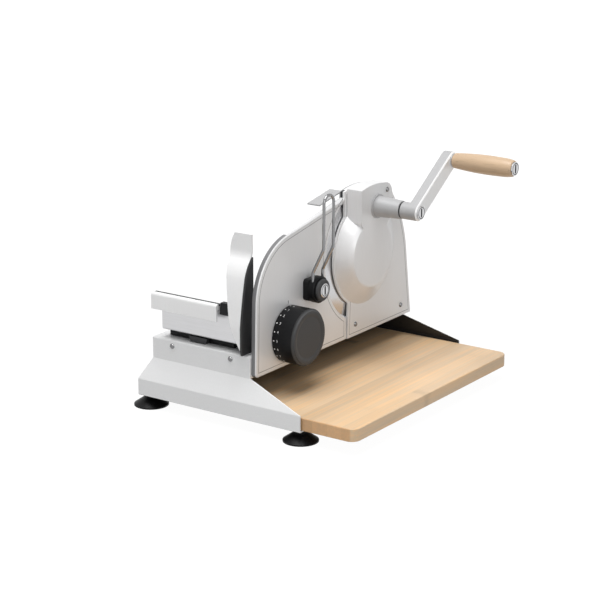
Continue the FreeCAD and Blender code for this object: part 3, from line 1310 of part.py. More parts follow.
def rounded_path(spots, radii):
    """Straight runs joined by tangent arcs, as one wire."""
    edges = []
    at = spots[0]
    for before, corner, after, radius in zip(spots, spots[1:], spots[2:], radii):
        back = (before - corner).normalize()
        ahead = (after - corner).normalize()
        half = back.getAngle(ahead) / 2
        reach = radius / math.tan(half)
        inward = (back + ahead).normalize()
        start = corner + back * reach
        finish = corner + ahead * reach
        middle = corner + inward * (radius / math.sin(half) - radius)
        if (start - at).Length > NEAR:
            edges.append(Part.LineSegment(at, start).toShape())
        edges.append(Part.Arc(start, middle, finish).toShape())
        at = finish
    edges.append(Part.LineSegment(at, spots[-1]).toShape())
    return Part.Wire(edges)


def make_deflector_wire():
    """Wire bow: two legs that lean out from the plate and meet in a round top."""
    front, back = "hinge_y - wire_half", "hinge_y + wire_half"
    leg = [("wire_start", "hinge_z + wire_held"), ("wire_start", "knee_z"),
           ("wire_out", "elbow_z"), ("wire_out", "crown_z")]
    spots = [point(x, front, z) for x, z in leg] + [point(x, back, z) for x, z in reversed(leg)]
    bend = value("wire_bend")
    crown_bend = value("wire_half") - 0.01
    path = rounded_path(spots, [bend, bend, crown_bend, crown_bend, bend, bend])
    ring = Part.Wire([Part.Circle(spots[0], Vector(0, 0, 1), value("wire")).toShape()])
    piece = doc.addObject("Part::Feature", "deflector_wire")
    piece.Label = "deflector_wire"
    piece.Shape = path.makePipeShell([ring], True, False)
    return place(piece)


# ---------------------------------------------------------------- build, check and write

def make_all():
    """Every sub-part, from the table up."""
    for make in (make_base_cover, make_base_ends, make_feet, make_foot_screws, make_base_braces,
                 make_base_screws,
                 make_rail, make_rail_screws, make_cutting_board, make_carriage_tray,
                 make_carriage_shoes, make_carriage_handle, make_thumb_guard, make_guard_cheek,
                 make_guard_holder, make_stop_plate, make_guide_rods, make_guide_bushes,
                 make_follower, make_knob_spindle, make_thickness_knob, make_gear_housing,
                 make_gear_cover,
                 make_housing_screws, make_head_screw, make_blade_guard, make_blade,
                 make_drive_gears, make_blade_shaft, make_blade_lock, make_bearing_tube,
                 make_tube_bushes, make_crank_shaft, make_crank_seal, make_crank_arm,
                 make_crank_screw, make_grip_axle, make_crank_grip, make_grip_screw,
                 make_deflector_base, make_deflector_knob, make_deflector_screw,
                 make_deflector_wire):
        make()
    doc.recompute()


def check_all():
    """Stop if any object failed, any cut removed nothing or any shape is unsound."""
    faults = []
    for thing in doc.Objects:
        if "Invalid" in thing.State or "Error" in thing.State:
            faults.append(thing.Name + " failed")
            continue
        if thing.TypeId in ("PartDesign::Pocket", "PartDesign::Groove", "PartDesign::SubtractiveLoft",
                            "PartDesign::SubtractiveHelix"):
            if thing.Shape.isNull():
                faults.append(thing.Name + " is empty")
            elif thing.Shape.Volume > thing.BaseFeature.Shape.Volume - 0.01:
                faults.append(thing.Name + " cuts nothing")
    for piece in PIECES:
        if piece.Shape.isNull() or not piece.Shape.isValid() or not piece.Shape.Solids:
            faults.append(piece.Label + " is unsound")
    if faults:
        raise ValueError("; ".join(faults))


def write_all():
    """One STEP file per sub-part."""
    os.makedirs("parts", exist_ok=True)
    for piece in PIECES:
        piece.Shape.exportStep("parts/%s.step" % piece.Label)
        print(piece.Label, len(piece.Shape.Solids), round(piece.Shape.Volume, 1))


make_all()
check_all()
write_all()
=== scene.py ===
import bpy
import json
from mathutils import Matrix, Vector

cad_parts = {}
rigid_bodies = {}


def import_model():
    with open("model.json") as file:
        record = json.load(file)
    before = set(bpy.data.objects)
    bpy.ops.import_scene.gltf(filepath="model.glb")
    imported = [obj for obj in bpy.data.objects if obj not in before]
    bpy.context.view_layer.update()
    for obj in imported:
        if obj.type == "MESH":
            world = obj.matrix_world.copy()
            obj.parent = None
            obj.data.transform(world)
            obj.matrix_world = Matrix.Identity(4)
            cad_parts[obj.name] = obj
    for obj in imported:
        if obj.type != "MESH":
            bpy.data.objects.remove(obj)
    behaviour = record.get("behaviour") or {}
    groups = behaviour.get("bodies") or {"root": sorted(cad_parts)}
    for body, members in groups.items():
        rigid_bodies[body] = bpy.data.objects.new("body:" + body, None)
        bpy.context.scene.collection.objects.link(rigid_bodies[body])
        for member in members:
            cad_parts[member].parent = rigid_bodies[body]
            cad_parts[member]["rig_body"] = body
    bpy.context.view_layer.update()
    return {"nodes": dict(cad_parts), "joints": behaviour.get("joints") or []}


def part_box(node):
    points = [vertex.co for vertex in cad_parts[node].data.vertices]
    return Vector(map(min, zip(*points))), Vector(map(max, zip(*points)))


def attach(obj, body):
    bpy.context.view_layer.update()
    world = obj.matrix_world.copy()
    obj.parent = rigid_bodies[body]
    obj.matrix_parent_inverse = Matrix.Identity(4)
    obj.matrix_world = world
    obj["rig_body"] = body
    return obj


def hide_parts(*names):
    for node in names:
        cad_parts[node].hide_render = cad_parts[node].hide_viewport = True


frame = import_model()

import json
import math
from collections import namedtuple

import bmesh
import bpy
from bpy.props import FloatProperty, FloatVectorProperty, IntProperty, PointerProperty
from mathutils import Vector
from mathutils.bvhtree import BVHTree

# Dresses the frame of a hand crank slicer: soft edges on sheet and castings, the dial's
# marks, screw recesses and the finish of every piece, on a pale stage.

bl_info = {
    "name": "Hand Crank Slicer Finish",
    "version": (1, 0, 0),
    "blender": (4, 5, 0),
    "location": "View3D > Sidebar > Slicer",
    "description": "Soft edges, dial marks and finishes for a hand crank slicer",
    "category": "Object",
}

MM = 0.001
WELD = 0.002 * MM           # corners closer than this are one
LEVEL_GAP = 0.05 * MM       # faces closer than this in depth are level
NARROW = 1.8 * MM           # a narrower face is a sheet's rim
SHORT_FOLD = 6 * MM         # shorter edges of the cover stay as they are, and so do
SHORT_EDGE = 1.2 * MM       # shorter edges of a small casting
SHORT_CAST = 3 * MM         # shorter edges of a large casting
SHORT_PLATE = 0.9 * MM      # shorter edges of a plate
FLAT = math.radians(0.6)    # weaker folds are flat
FAINT = math.radians(12)    # weaker folds of the cover stay as they are
SHARP = math.radians(24)    # stronger folds are edges
UPRIGHT = math.radians(60)  # stronger folds are a plate's outline
SQUARE = 0.999              # least cosine of a face that faces a given way
FRONT_WALL = 0.2            # least cosine of a rim face towards the front
RIM_LEAN = 0.1              # largest cosine of a rim face towards the side
ARM_LEAN = 0.3              # the same for the sides of the crank arm, which carry painted shade
DOWNWARD = 0.1              # least cosine of a face that looks down
OFF_FACE = 0.2 * MM         # how far off a face a ray starts
RIGHT = Vector((1, 0, 0))
WHITE = (1, 1, 1, 1)
ROUND = 2 * math.pi
HALF = 0.5                  # middle of a level that runs from 0 to 1

THIN_EDGE = 0.2 * MM        # rounding of the blade guard's edges
ARM_EDGE = 0.4 * MM         # rounding of the crank arm's edges
SMALL_EDGE = 0.5 * MM       # of the handle's, the cheek's and the hinge's edges
GUARD_EDGE = 0.7 * MM       # of the thumb guard's edges
BEVEL_STEPS = 3

GROOVE_FRONT = 3.5 * MM     # start of the handle's groove, in painted shade, behind its front
GROOVE_DEEP = 4.0 * MM      # its depth below the handle's top


# ---------------------------------------------------------------- sizes and colours

def tint(name, description, default):
    """A colour that a user may change."""
    return FloatVectorProperty(name=name, description=description, default=default,
                               size=3, min=0, max=1, subtype="COLOR")


def length(name, description, default):
    """A length that a user may change, its default in millimetres."""
    return FloatProperty(name=name, description=description, default=default * MM,
                         min=0, unit="LENGTH", precision=5)


class SlicerColours(bpy.types.PropertyGroup):
    """Colours of the slicer's finishes."""
    silver: tint("Silver coat", "Satin coat of the base", (0.84, 0.843, 0.846))
    casting: tint("Casting", "Anodised panels, head and crank", (0.84, 0.84, 0.845))
    bright: tint("Bright casting", "Carriage handle and crank arm", (0.97, 0.97, 0.97))
    # Turned tube: darker than the casting; the darker tone partly stands in for the dark
    # reflections along the polished tube, as painted shade
    tube: tint("Turned tube", "Bearing tube of the crank", (0.47, 0.47, 0.475))
    # Edge line: painted shade, a dark line that stands in for the shade of a step inside the
    # plates' edges
    line: tint("Edge line", "Fine line inside the plates' edges", (0.33, 0.33, 0.335))
    # Plate rim: painted shade on the stop plate's front rim faces, which lie in the guard's shadow
    rim: tint("Plate rim", "Front rim of the stop plate", (0.20, 0.20, 0.205))
    screw: tint("Screws", "Screw heads", (0.22, 0.22, 0.223))
    steel: tint("Steel", "Plain sheet, rods and screws", (0.66, 0.66, 0.67))
    polished: tint("Polished steel", "Blade and wire", (0.62, 0.62, 0.63))
    # Wire: its dark tone partly stands in for the dark reflections along the polished wire, as a
    # painted reflection
    wire: tint("Wire", "Bright wire of the deflector", (0.28, 0.28, 0.285))
    # Charcoal: the own colour of the dial, hinge and shoes; in the caps' slots and rings, and
    # partly on the shoes, it is painted shade
    charcoal: tint("Charcoal", "Dial, hinge and shoes", (0.010, 0.0103, 0.011))
    # Knob cap: the cap's own paler tone, partly also a painted sheen of the dished front
    cap: tint("Knob cap", "Dished face of the knobs", (0.072, 0.073, 0.075))
    cheek: tint("Cheek", "Dark plate of the guard", (0.012, 0.0125, 0.0135))
    guard: tint("Guard", "Near-white guard", (0.93, 0.93, 0.93))
    rubber: tint("Rubber", "Suction feet", (0.004, 0.004, 0.0045))
    # Inside coat: painted shade, a dark finish for the base's inner and downward faces, the rail
    # and braces, the handle's groove and the housing's rim beside the blade
    inside: tint("Inside coat", "Dark coat under the deck", (0.016, 0.017, 0.019))
    beech: tint("Beech", "Crank grip", (0.64, 0.46, 0.30))
    bamboo: tint("Bamboo", "Cutting board", (0.74, 0.545, 0.355))
    mark: tint("Dial marks", "Printed marks of the knob", (0.85, 0.85, 0.85))


class SlicerSizes(bpy.types.PropertyGroup):
    """Sizes of the small details."""
    fold: length("Fold", "Rounding of the base's folds", 0.8)
    rim: length("Rim", "Rounding of sheet rims", 0.25)
    cast_edge: length("Casting edge", "Rounding of the castings' edges", 0.8)
    plate_edge: length("Plate edge", "Rounding of the two plates' edges", 1.1)
    # Bright rim: the bare front rim of the housing beside the blade; its deeper rim faces carry
    # painted shade
    bright_rim: length("Bright rim", "Bare part of a plate's rim beside the blade", 3.0)
    # sizes of the painted shadow line inside the plates' edges
    line_in: length("Edge line", "The fine line from a plate's edge", 3.6)
    line_wide: length("Edge line width", "Width of the fine line", 0.8)
    cap_slot_wide: length("Cap slot width", "Width of the slot in a cap", 2.6)
    cap_slot_high: length("Cap slot height", "Height of the slot in a cap", 10.4)
    cap_slot_deep: length("Cap slot depth", "Depth of the slot in a cap", 1.2)
    dot: length("Dial dot", "Radius of a dot on the dial", 0.75)
    figure: length("Dial figure", "Height of a figure on the dial", 4.2)
    print_high: length("Print", "Thickness of printed marks", 0.06)
    divisions: IntProperty(name="Divisions", description="Marks round the dial",
                           default=20, min=4, max=60)


def colours():
    return bpy.context.scene.slicer_colours


def sizes():
    return bpy.context.scene.slicer_sizes


# ---------------------------------------------------------------- shader building

class Level:
    """A number that changes over a surface; Python's operators add its Math nodes."""

    def __init__(self, finish, socket):
        self.finish = finish
        self.socket = socket

    def maths(self, operation, *others, first=None):
        """One Math node on this level and others."""
        values = [self if first is None else first, *others]
        inputs = {index: value for index, value in enumerate(values)}
        node = self.finish.node("ShaderNodeMath", {"operation": operation}, inputs)
        return Level(self.finish, node.outputs[0])

    def __add__(self, other):
        return self.maths("ADD", other)

    def __radd__(self, other):
        return self.maths("ADD", self, first=other)

    def __sub__(self, other):
        return self.maths("SUBTRACT", other)

    def __rsub__(self, other):
        return self.maths("SUBTRACT", self, first=other)

    def __mul__(self, other):
        return self.maths("MULTIPLY", other)

    def __rmul__(self, other):
        return self.maths("MULTIPLY", self, first=other)

    def __truediv__(self, other):
        return self.maths("DIVIDE", other)

    def __rtruediv__(self, other):
        return self.maths("DIVIDE", self, first=other)

    def __pow__(self, other):
        return self.maths("POWER", other)

    def whole(self):
        return self.maths("FLOOR")

    def part(self):
        return self.maths("FRACT")

    def size(self):
        return self.maths("ABSOLUTE")

    def swing(self, amount):
        """A swing about zero, as wide as the amount, from a level between 0 and 1."""
        return (self - HALF) * amount

    def between(self, low, high):
        """0 below low, 1 above high, smooth in between."""
        settings = {"interpolation_type": "SMOOTHSTEP"}
        inputs = {"Value": self, "From Min": low, "From Max": high}
        node = self.finish.node("ShaderNodeMapRange", settings, inputs)
        return Level(self.finish, node.outputs[0])


class Finish:
    """A material and the nodes in it."""

    def __init__(self, name, **constants):
        self.material = bpy.data.materials.new(name)
        self.material.use_nodes = True
        self.tree = self.material.node_tree
        self.tree.nodes.clear()
        inputs = {key.replace("_", " "): value for key, value in constants.items()}
        self.shader = self.node("ShaderNodeBsdfPrincipled", inputs=inputs)
        surface = {"Surface": self.shader.outputs[0]}
        self.output = self.node("ShaderNodeOutputMaterial", inputs=surface)
        self.place = self.node("ShaderNodeTexCoord").outputs["Object"]

    def node(self, kind, settings=None, inputs=None):
        """Any node: its settings first, then the values or links of its sockets."""
        made = self.tree.nodes.new(kind)
        for key, setting in (settings or {}).items():
            setattr(made, key, setting)
        for key, source in (inputs or {}).items():
            socket = made.inputs[key]
            source = source.socket if isinstance(source, Level) else source
            if isinstance(source, bpy.types.NodeSocket):
                self.tree.links.new(source, socket)
            else:
                socket.default_value = source
        return made

    def moved(self, scale=(1, 1, 1), about=None):
        """Object coordinates, moved so that a point is the origin, and stretched."""
        place = self.place
        if about is not None:
            shift = {"Vector": place, "Location": [-part for part in about]}
            place = self.node("ShaderNodeMapping", inputs=shift).outputs[0]
        return self.node("ShaderNodeMapping", inputs={"Vector": place, "Scale": scale}).outputs[0]

    def axes(self, place=None):
        """The three coordinates as levels."""
        split = self.node("ShaderNodeSeparateXYZ", inputs={0: place or self.place})
        return [Level(self, socket) for socket in split.outputs]

    def join(self, x, y, z):
        """A vector from three levels."""
        return self.node("ShaderNodeCombineXYZ", inputs={0: x, 1: y, 2: z}).outputs[0]

    def noise(self, scale, detail=2.0, rough=0.5, place=None, warp=0.0):
        """Soft noise from 0 to 1."""
        inputs = {"Vector": place or self.place, "Scale": scale, "Detail": detail,
                  "Roughness": rough, "Distortion": warp}
        node = self.node("ShaderNodeTexNoise", inputs=inputs)
        return Level(self, node.outputs[0])

    def cells(self, scale):
        """Distance from the middles of scattered cells."""
        inputs = {"Vector": self.place, "Scale": scale}
        node = self.node("ShaderNodeTexVoronoi", {"feature": "F1"}, inputs)
        return Level(self, node.outputs["Distance"])

    def scatter(self, level):
        """A random number for each whole number."""
        node = self.node("ShaderNodeTexWhiteNoise", {"noise_dimensions": "1D"}, {"W": level})
        return Level(self, node.outputs["Value"])

    def blend(self, factor, low, high):
        """From one colour to another."""
        inputs = {0: factor, 6: self.full(low), 7: self.full(high)}
        node = self.node("ShaderNodeMix", {"data_type": "RGBA"}, inputs)
        return node.outputs[2]

    @staticmethod
    def full(colour):
        """A colour with its alpha, or the link that it already is."""
        return colour if isinstance(colour, bpy.types.NodeSocket) else (*colour[:3], 1)

    def shade(self, colour, amount):
        """A colour made darker or lighter by a level."""
        inputs = {0: colour if isinstance(colour, bpy.types.NodeSocket) else tuple(colour),
                  "Scale": amount}
        return self.node("ShaderNodeVectorMath", {"operation": "SCALE"}, inputs).outputs[0]

    def wear(self, socket, source):
        """Feed one of the shader's sockets."""
        source = source.socket if isinstance(source, Level) else source
        self.tree.links.new(source, self.shader.inputs[socket])

    def relief(self, height, depth, strength):
        """Bump of a level, its full height in millimetres."""
        inputs = {"Height": height, "Distance": depth * MM, "Strength": strength}
        bump = self.node("ShaderNodeBump", inputs=inputs)
        self.wear("Normal", bump.outputs[0])


# how fine the patterns are, in cells to the metre
CLOUD, COAT_CLOUD, CASTING_CLOUD, BOARD_CLOUD = 16, 9, 12, 10
FLAKES, ORANGE_PEEL, HAND_MARKS = 1500, 520, 60
GRAIN, SMEARS = 2600, 45
DRAWN_LINES, DULL_SPOTS = 1800, 35
GROUND_RINGS, GROUND_DRIFT, BLADE_SMEARS = 2400, 10, 30
SKIN, RUBBER_SKIN, BLOOM = 900, 1400, 40
BEECH_RINGS, BEECH_FLECKS, BEECH_PORES = 150, 900, 2600
FIBRES, FIBRES_ALONG, STREAKS, STREAKS_ALONG, NODE_WAVES = 1500, 26, 260, 7, 70
INK = 2200
ALONG_X, ALONG_Z = (0.02, 1, 1), (1, 1, 0.02)    # stretch of a grain that runs one way


def satin_coat(name, colour, metal=0.1, rough=0.42):
    """Metallic paint: fine flakes, faint orange peel and a few handling marks."""
    finish = Finish(name, Metallic=metal)
    flakes = finish.cells(FLAKES)
    cloud = finish.noise(COAT_CLOUD, 3)
    rub = finish.noise(HAND_MARKS, 4, place=finish.moved((1, 1, 6)))
    level = 0.93 + flakes * 0.09 + cloud.swing(0.07) + rub.swing(0.02)
    finish.wear("Base Color", finish.shade(colour, level))
    finish.wear("Roughness", rough + cloud.swing(0.10) + rub.swing(0.08))
    finish.relief(finish.noise(ORANGE_PEEL, 2), 0.012, 0.35)
    return finish.material


def anodised(name, colour, grain=ALONG_Z):
    """Matt anodised aluminium: fine one-way grain under a soft skin."""
    finish = Finish(name, Metallic=0.1)
    lines = finish.noise(GRAIN, 2, place=finish.moved(grain))
    cloud = finish.noise(CASTING_CLOUD, 3)
    smear = finish.noise(SMEARS, 3, 0.6, warp=0.4)
    level = 0.95 + lines.swing(0.10) + cloud.swing(0.07)
    finish.wear("Base Color", finish.shade(colour, level))
    finish.wear("Roughness", 0.36 + lines.swing(0.14) + smear.swing(0.07))
    finish.relief(lines, 0.004, 0.35)
    return finish.material


def plain_steel(name, colour, rough, grain=ALONG_X):
    """Rolled or drawn steel: fine lines along one way, a few dull spots."""
    finish = Finish(name, Metallic=1.0)
    lines = finish.noise(DRAWN_LINES, 2, place=finish.moved(grain))
    spots = finish.noise(DULL_SPOTS, 4, 0.6)
    level = 0.93 + lines.swing(0.16) + spots.swing(0.10)
    finish.wear("Base Color", finish.shade(colour, level))
    finish.wear("Roughness", rough + lines.swing(0.16) + spots.swing(0.10))
    finish.relief(lines, 0.003, 0.3)
    return finish.material


def ground_blade(name, colour, middle):
    """Blade steel: grinding lines in rings, finer and brighter on the bevel."""
    finish = Finish(name, Metallic=1.0)
    x, y, z = finish.axes(finish.moved(about=middle))
    radius = (y * y + z * z) ** 0.5
    rings = finish.noise(1, 3, 0.6, finish.join(radius * GROUND_RINGS, x * GROUND_DRIFT, 0.0))
    smear = finish.noise(BLADE_SMEARS, 3)
    finish.wear("Base Color", finish.shade(colour, 0.94 + rings.swing(0.14)))
    finish.wear("Roughness", 0.16 + rings.swing(0.12) + smear.swing(0.06))
    finish.relief(rings, 0.003, 0.35)
    return finish.material


def moulded(name, colour, rough=0.42, grain=SKIN, depth=0.02, spread=0.12, gloss=0.5):
    """Moulded plastic with a fine eroded grain and faint finger marks."""
    finish = Finish(name, IOR=1.46, Specular_IOR_Level=gloss)
    skin = finish.noise(grain, 3, 0.6)
    cloud = finish.noise(CLOUD, 3)
    finish.wear("Base Color", finish.shade(colour, 1 + skin.swing(spread) + cloud.swing(0.12)))
    finish.wear("Roughness", rough + cloud.swing(0.12) + skin.swing(0.08))
    finish.relief(skin, depth, 0.4)
    return finish.material


CAP_DEEP = 3.2 * MM         # reach of the paler cap, partly a painted sheen, from a knob's face
CAP_BLEND = 1.0 * MM        # stretch over which its tone changes


def capped(name, node):
    """Moulded knob: a dark dial and a paler soft cap over its front, the paler tone partly the
    cap's own and partly a painted sheen.
    """
    finish = Finish(name, IOR=1.46, Specular_IOR_Level=0.12)
    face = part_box(node)[1].x
    front = finish.axes()[0].between(face - CAP_DEEP, face - CAP_DEEP + CAP_BLEND)
    skin = finish.noise(SKIN, 3, 0.6)
    cloud = finish.noise(CLOUD, 3)
    shade = 1 + skin.swing(0.12) + cloud.swing(0.12)
    colour = finish.blend(front, colours().charcoal, colours().cap)
    finish.wear("Base Color", finish.shade(colour, shade))
    finish.wear("Roughness", 0.36 + front * 0.08 + cloud.swing(0.12) + skin.swing(0.08))
    finish.relief(skin, 0.02, 0.4)
    return finish.material


def soft_rubber(name, colour):
    """Black rubber with a dull bloom and dust in its grain."""
    finish = Finish(name, IOR=1.5, Specular_IOR_Level=0.15)
    bloom = finish.noise(BLOOM, 4, 0.65)
    skin = finish.noise(RUBBER_SKIN, 2)
    finish.wear("Base Color", finish.shade(colour, 0.8 + bloom * 0.9))
    finish.wear("Roughness", 0.30 + bloom * 0.22)
    finish.relief(skin, 0.02, 0.3)
    return finish.material


def beech_wood(name, colour, middle):
    """Turned beech: long rings, darker pores and short flecks along the grain."""
    finish = Finish(name, IOR=1.45, Coat_Weight=0.12, Coat_Roughness=0.3)
    along = finish.moved((0.10, 1, 1), about=middle)
    rings = finish.noise(BEECH_RINGS, 3, 0.55, along, 0.6)
    flecks = finish.noise(BEECH_FLECKS, 2, 0.6, finish.moved((0.06, 1, 1), about=middle))
    pores = finish.noise(BEECH_PORES, 2, 0.6, finish.moved((0.03, 1, 1), about=middle))
    figure = 0.96 + rings.swing(0.34) - flecks.between(0.60, 0.72) * 0.16
    figure = figure - pores.between(0.62, 0.7) * 0.10
    finish.wear("Base Color", finish.shade(colour, figure))
    finish.wear("Roughness", 0.42 + rings.swing(0.14))
    finish.relief(pores, 0.03, 0.3)
    return finish.material


STRIP = 19 * MM             # width of a strip of the board
STRIP_START = 0.37          # share of a strip before the middle
STRIP_SEAM = (0.485, 0.499)
STRIP_SHIFT = 40            # largest shift between the streaks of two strips
OTHER_DRAW = 71.3           # shift to a strip's second random number
NODE_EVERY = 230 * MM       # distance between the nodes of a strip
NODE_LONG = 0.045           # half a node, as a share of that distance
NODE_COMMON = 0.35          # strips with a lower number have no node
END_GRAIN = (0.4 * MM, 1.4 * MM)
BAMBOO_WARM = (0.80, 0.53, 0.29)
BAMBOO_END = (0.66, 0.38, 0.18)


def bamboo_strips(name, colour):
    """Laminated bamboo: strips along the depth, each with its own tone and dark nodes."""
    finish = Finish(name, IOR=1.45, Coat_Weight=0.08, Coat_Roughness=0.35)
    x, y, z = finish.axes()
    across = x / STRIP + STRIP_START
    own = finish.scatter(across.whole())
    other = finish.scatter(across.whole() + OTHER_DRAW)
    seam = (across.part() - HALF).size().between(*STRIP_SEAM)
    lines = finish.join(x * FIBRES, y * FIBRES_ALONG, z * FIBRES)
    fibres = finish.noise(1, 3, 0.6, lines)
    lines = finish.join(x * STREAKS, y * STREAKS_ALONG + own * STRIP_SHIFT, z * STREAKS)
    streaks = finish.noise(1, 3, 0.55, lines)
    cloud = finish.noise(BOARD_CLOUD, 2, 0.5, finish.moved((1, 0.5, 1)))
    along = ((y + own * NODE_EVERY) / NODE_EVERY).part() - HALF
    wave = finish.noise(NODE_WAVES, 3).swing(0.07)
    node = 1 - (along + wave).size().between(0.0, NODE_LONG)
    node = node * other.between(NODE_COMMON, NODE_COMMON + 0.6)
    level = 0.96 + own.swing(0.17) + streaks.swing(0.24) + fibres.swing(0.14)
    level = level + cloud.swing(0.16) - seam * 0.12 - node * 0.30
    warm = finish.blend(streaks.between(0.35, 0.75), colour, BAMBOO_WARM)
    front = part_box("cutting_board")[0].y
    ends = 1 - y.between(*[front + reach for reach in END_GRAIN])
    toned = finish.blend(ends * 0.75, warm, BAMBOO_END)
    finish.wear("Base Color", finish.shade(toned, level))
    finish.wear("Roughness", 0.46 + fibres.swing(0.2))
    finish.relief(fibres - node * 0.6 - seam, 0.03, 0.35)
    return finish.material


def printed(name, colour):
    """Printed mark with slightly uneven ink."""
    finish = Finish(name, IOR=1.45)
    ink = finish.noise(INK, 2)
    finish.wear("Base Color", finish.shade(colour, 0.92 + ink * 0.12))
    finish.wear("Roughness", 0.45 + ink.swing(0.1))
    return finish.material


FINISHES = {}


def finish_of(slot):
    """The material of a slot, made when it is first asked for."""
    if slot not in FINISHES:
        FINISHES[slot] = MAKERS[slot]()
    return FINISHES[slot]


MAKERS = {
    "silver_sheet": lambda: satin_coat("silver_coat", colours().silver),
    "silver_casting": lambda: anodised("anodised_casting", colours().casting),
    "bright_casting": lambda: anodised("bright_casting", colours().bright),
    "turned_tube": lambda: anodised("turned_tube", colours().tube, ALONG_X),
    "bare_sheet": lambda: plain_steel("rolled_sheet", colours().steel, 0.34),
    "bright_steel": lambda: plain_steel("bright_steel", colours().polished, 0.18, ALONG_Z),
    "blade_steel": lambda: ground_blade("ground_blade", colours().polished, middle_of("blade")),
    "steel_screw": lambda: plain_steel("screw_steel", colours().screw, 0.24, (1, 1, 1)),
    "black_rubber": lambda: soft_rubber("black_rubber", colours().rubber),
    "dark_plastic": lambda: moulded("charcoal_plastic", colours().charcoal, gloss=0.2),
    "grey_plastic": lambda: moulded("cheek_plastic", colours().cheek, 0.38),
    "white_plastic": lambda: moulded("guard_plastic", colours().guard, 0.22, 300, 0.006, 0.03),
    "beech": lambda: beech_wood("beech", colours().beech, middle_of("crank_grip")),
    "bamboo": lambda: bamboo_strips("bamboo", colours().bamboo),
    "knob_cap": lambda: capped("knob_cap", "thickness_knob"),
    "hinge_cap": lambda: capped("hinge_cap", "deflector_knob"),
    "wire": lambda: plain_steel("wire_steel", colours().wire, 0.14, ALONG_Z),
    # painted shade: the dark inside finish
    "inside": lambda: satin_coat("painted_shade_inside", colours().inside, 0.1, 0.5),
    "painted_shade_rim": lambda: anodised("painted_shade_rim", colours().rim),
    # painted shade: the dark shadow line inside the plates' edges
    "edge_line": lambda: satin_coat("edge_line", colours().line, 0.2, 0.4),
    "white_print": lambda: printed("white_print", colours().mark),
    "black_print": lambda: printed("black_print", colours().charcoal),
}


# ---------------------------------------------------------------- pieces

def middle_of(node):
    """Middle of a CAD node's box."""
    low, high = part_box(node)
    return (low + high) / 2


def body_of(node):
    return frame["nodes"][node]["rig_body"]


def welded(node):
    """A copy of a CAD node's mesh, its triangles joined and its flat faces whole."""
    work = bmesh.new()
    work.from_mesh(frame["nodes"][node].data)
    bmesh.ops.remove_doubles(work, verts=work.verts, dist=WELD)
    bmesh.ops.dissolve_degenerate(work, edges=work.edges, dist=2 * WELD)
    bmesh.ops.dissolve_limit(work, angle_limit=FLAT, verts=work.verts, edges=work.edges)
    return work


def new_object(name, data):
    """An object in the scene."""
    made = bpy.data.objects.new(name, data)
    bpy.context.scene.collection.objects.link(made)
    return made


def make_piece(work, name, body, slot, nodes=(), extra=()):
    """An object from a bmesh, with its finish, on its body."""
    mesh = bpy.data.meshes.new(name)
    work.to_mesh(mesh)
    work.free()
    if "custom_normal" in mesh.attributes:
        mesh.attributes.remove(mesh.attributes["custom_normal"])
    mesh.shade_smooth()
    mesh.set_sharp_from_angle(angle=SHARP)
    for finish in (slot, *extra):
        mesh.materials.append(finish_of(finish))
    piece = new_object(name, mesh)
    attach(piece, body)
    if nodes:
        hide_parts(*nodes)
    return piece


def weigh_edges(work, weight_of):
    """Give each edge its share of the rounding."""
    layer = work.edges.layers.float.new("bevel_weight_edge")
    for edge in work.edges:
        edge[layer] = weight_of(edge)


def round_weighed(piece, width):
    """Round the edges by their share of a width."""
    bevel = piece.modifiers.new("SoftEdges", "BEVEL")
    bevel.limit_method = "WEIGHT"
    bevel.width = width
    bevel.segments = BEVEL_STEPS
    bevel.harden_normals = True
    bevel.miter_outer = "MITER_ARC"


def is_narrow(face):
    """True for the rim of a sheet."""
    return 2 * face.calc_area() / face.calc_perimeter() < NARROW


def is_outline(edge, least, angle=SHARP):
    """True for a sharp outer edge that is not part of a small hole."""
    if len(edge.link_faces) != 2 or edge.calc_length() < least:
        return False
    return edge.is_convex and edge.calc_face_angle() > angle


def right_faces(work):
    """The faces square to the right, where they lie furthest out."""
    facing = [face for face in work.faces if face.normal.dot(RIGHT) > SQUARE]
    place = max(face.calc_center_median().x for face in facing)
    return [face for face in facing if abs(face.calc_center_median().x - place) < LEVEL_GAP]


def paint_nodes(slot, *nodes):
    """Give CAD nodes their finish."""
    for node in nodes:
        data = frame["nodes"][node].data
        data.materials.clear()
        data.materials.append(finish_of(slot))


def cast_piece(node, slot, width, least=SHORT_EDGE, is_other=None, other="inside"):
    """A CAD node with its sharp outer edges rounded and some faces in another finish, by default
    the dark inside finish of painted shade.
    """
    work = welded(node)
    weigh_edges(work, lambda edge: float(is_outline(edge, least)))
    if is_other:
        for face in work.faces:
            face.material_index = int(is_other(face))
    extra = [other] if is_other else []
    piece = make_piece(work, node + "_soft", body_of(node), slot, [node], extra)
    round_weighed(piece, width)


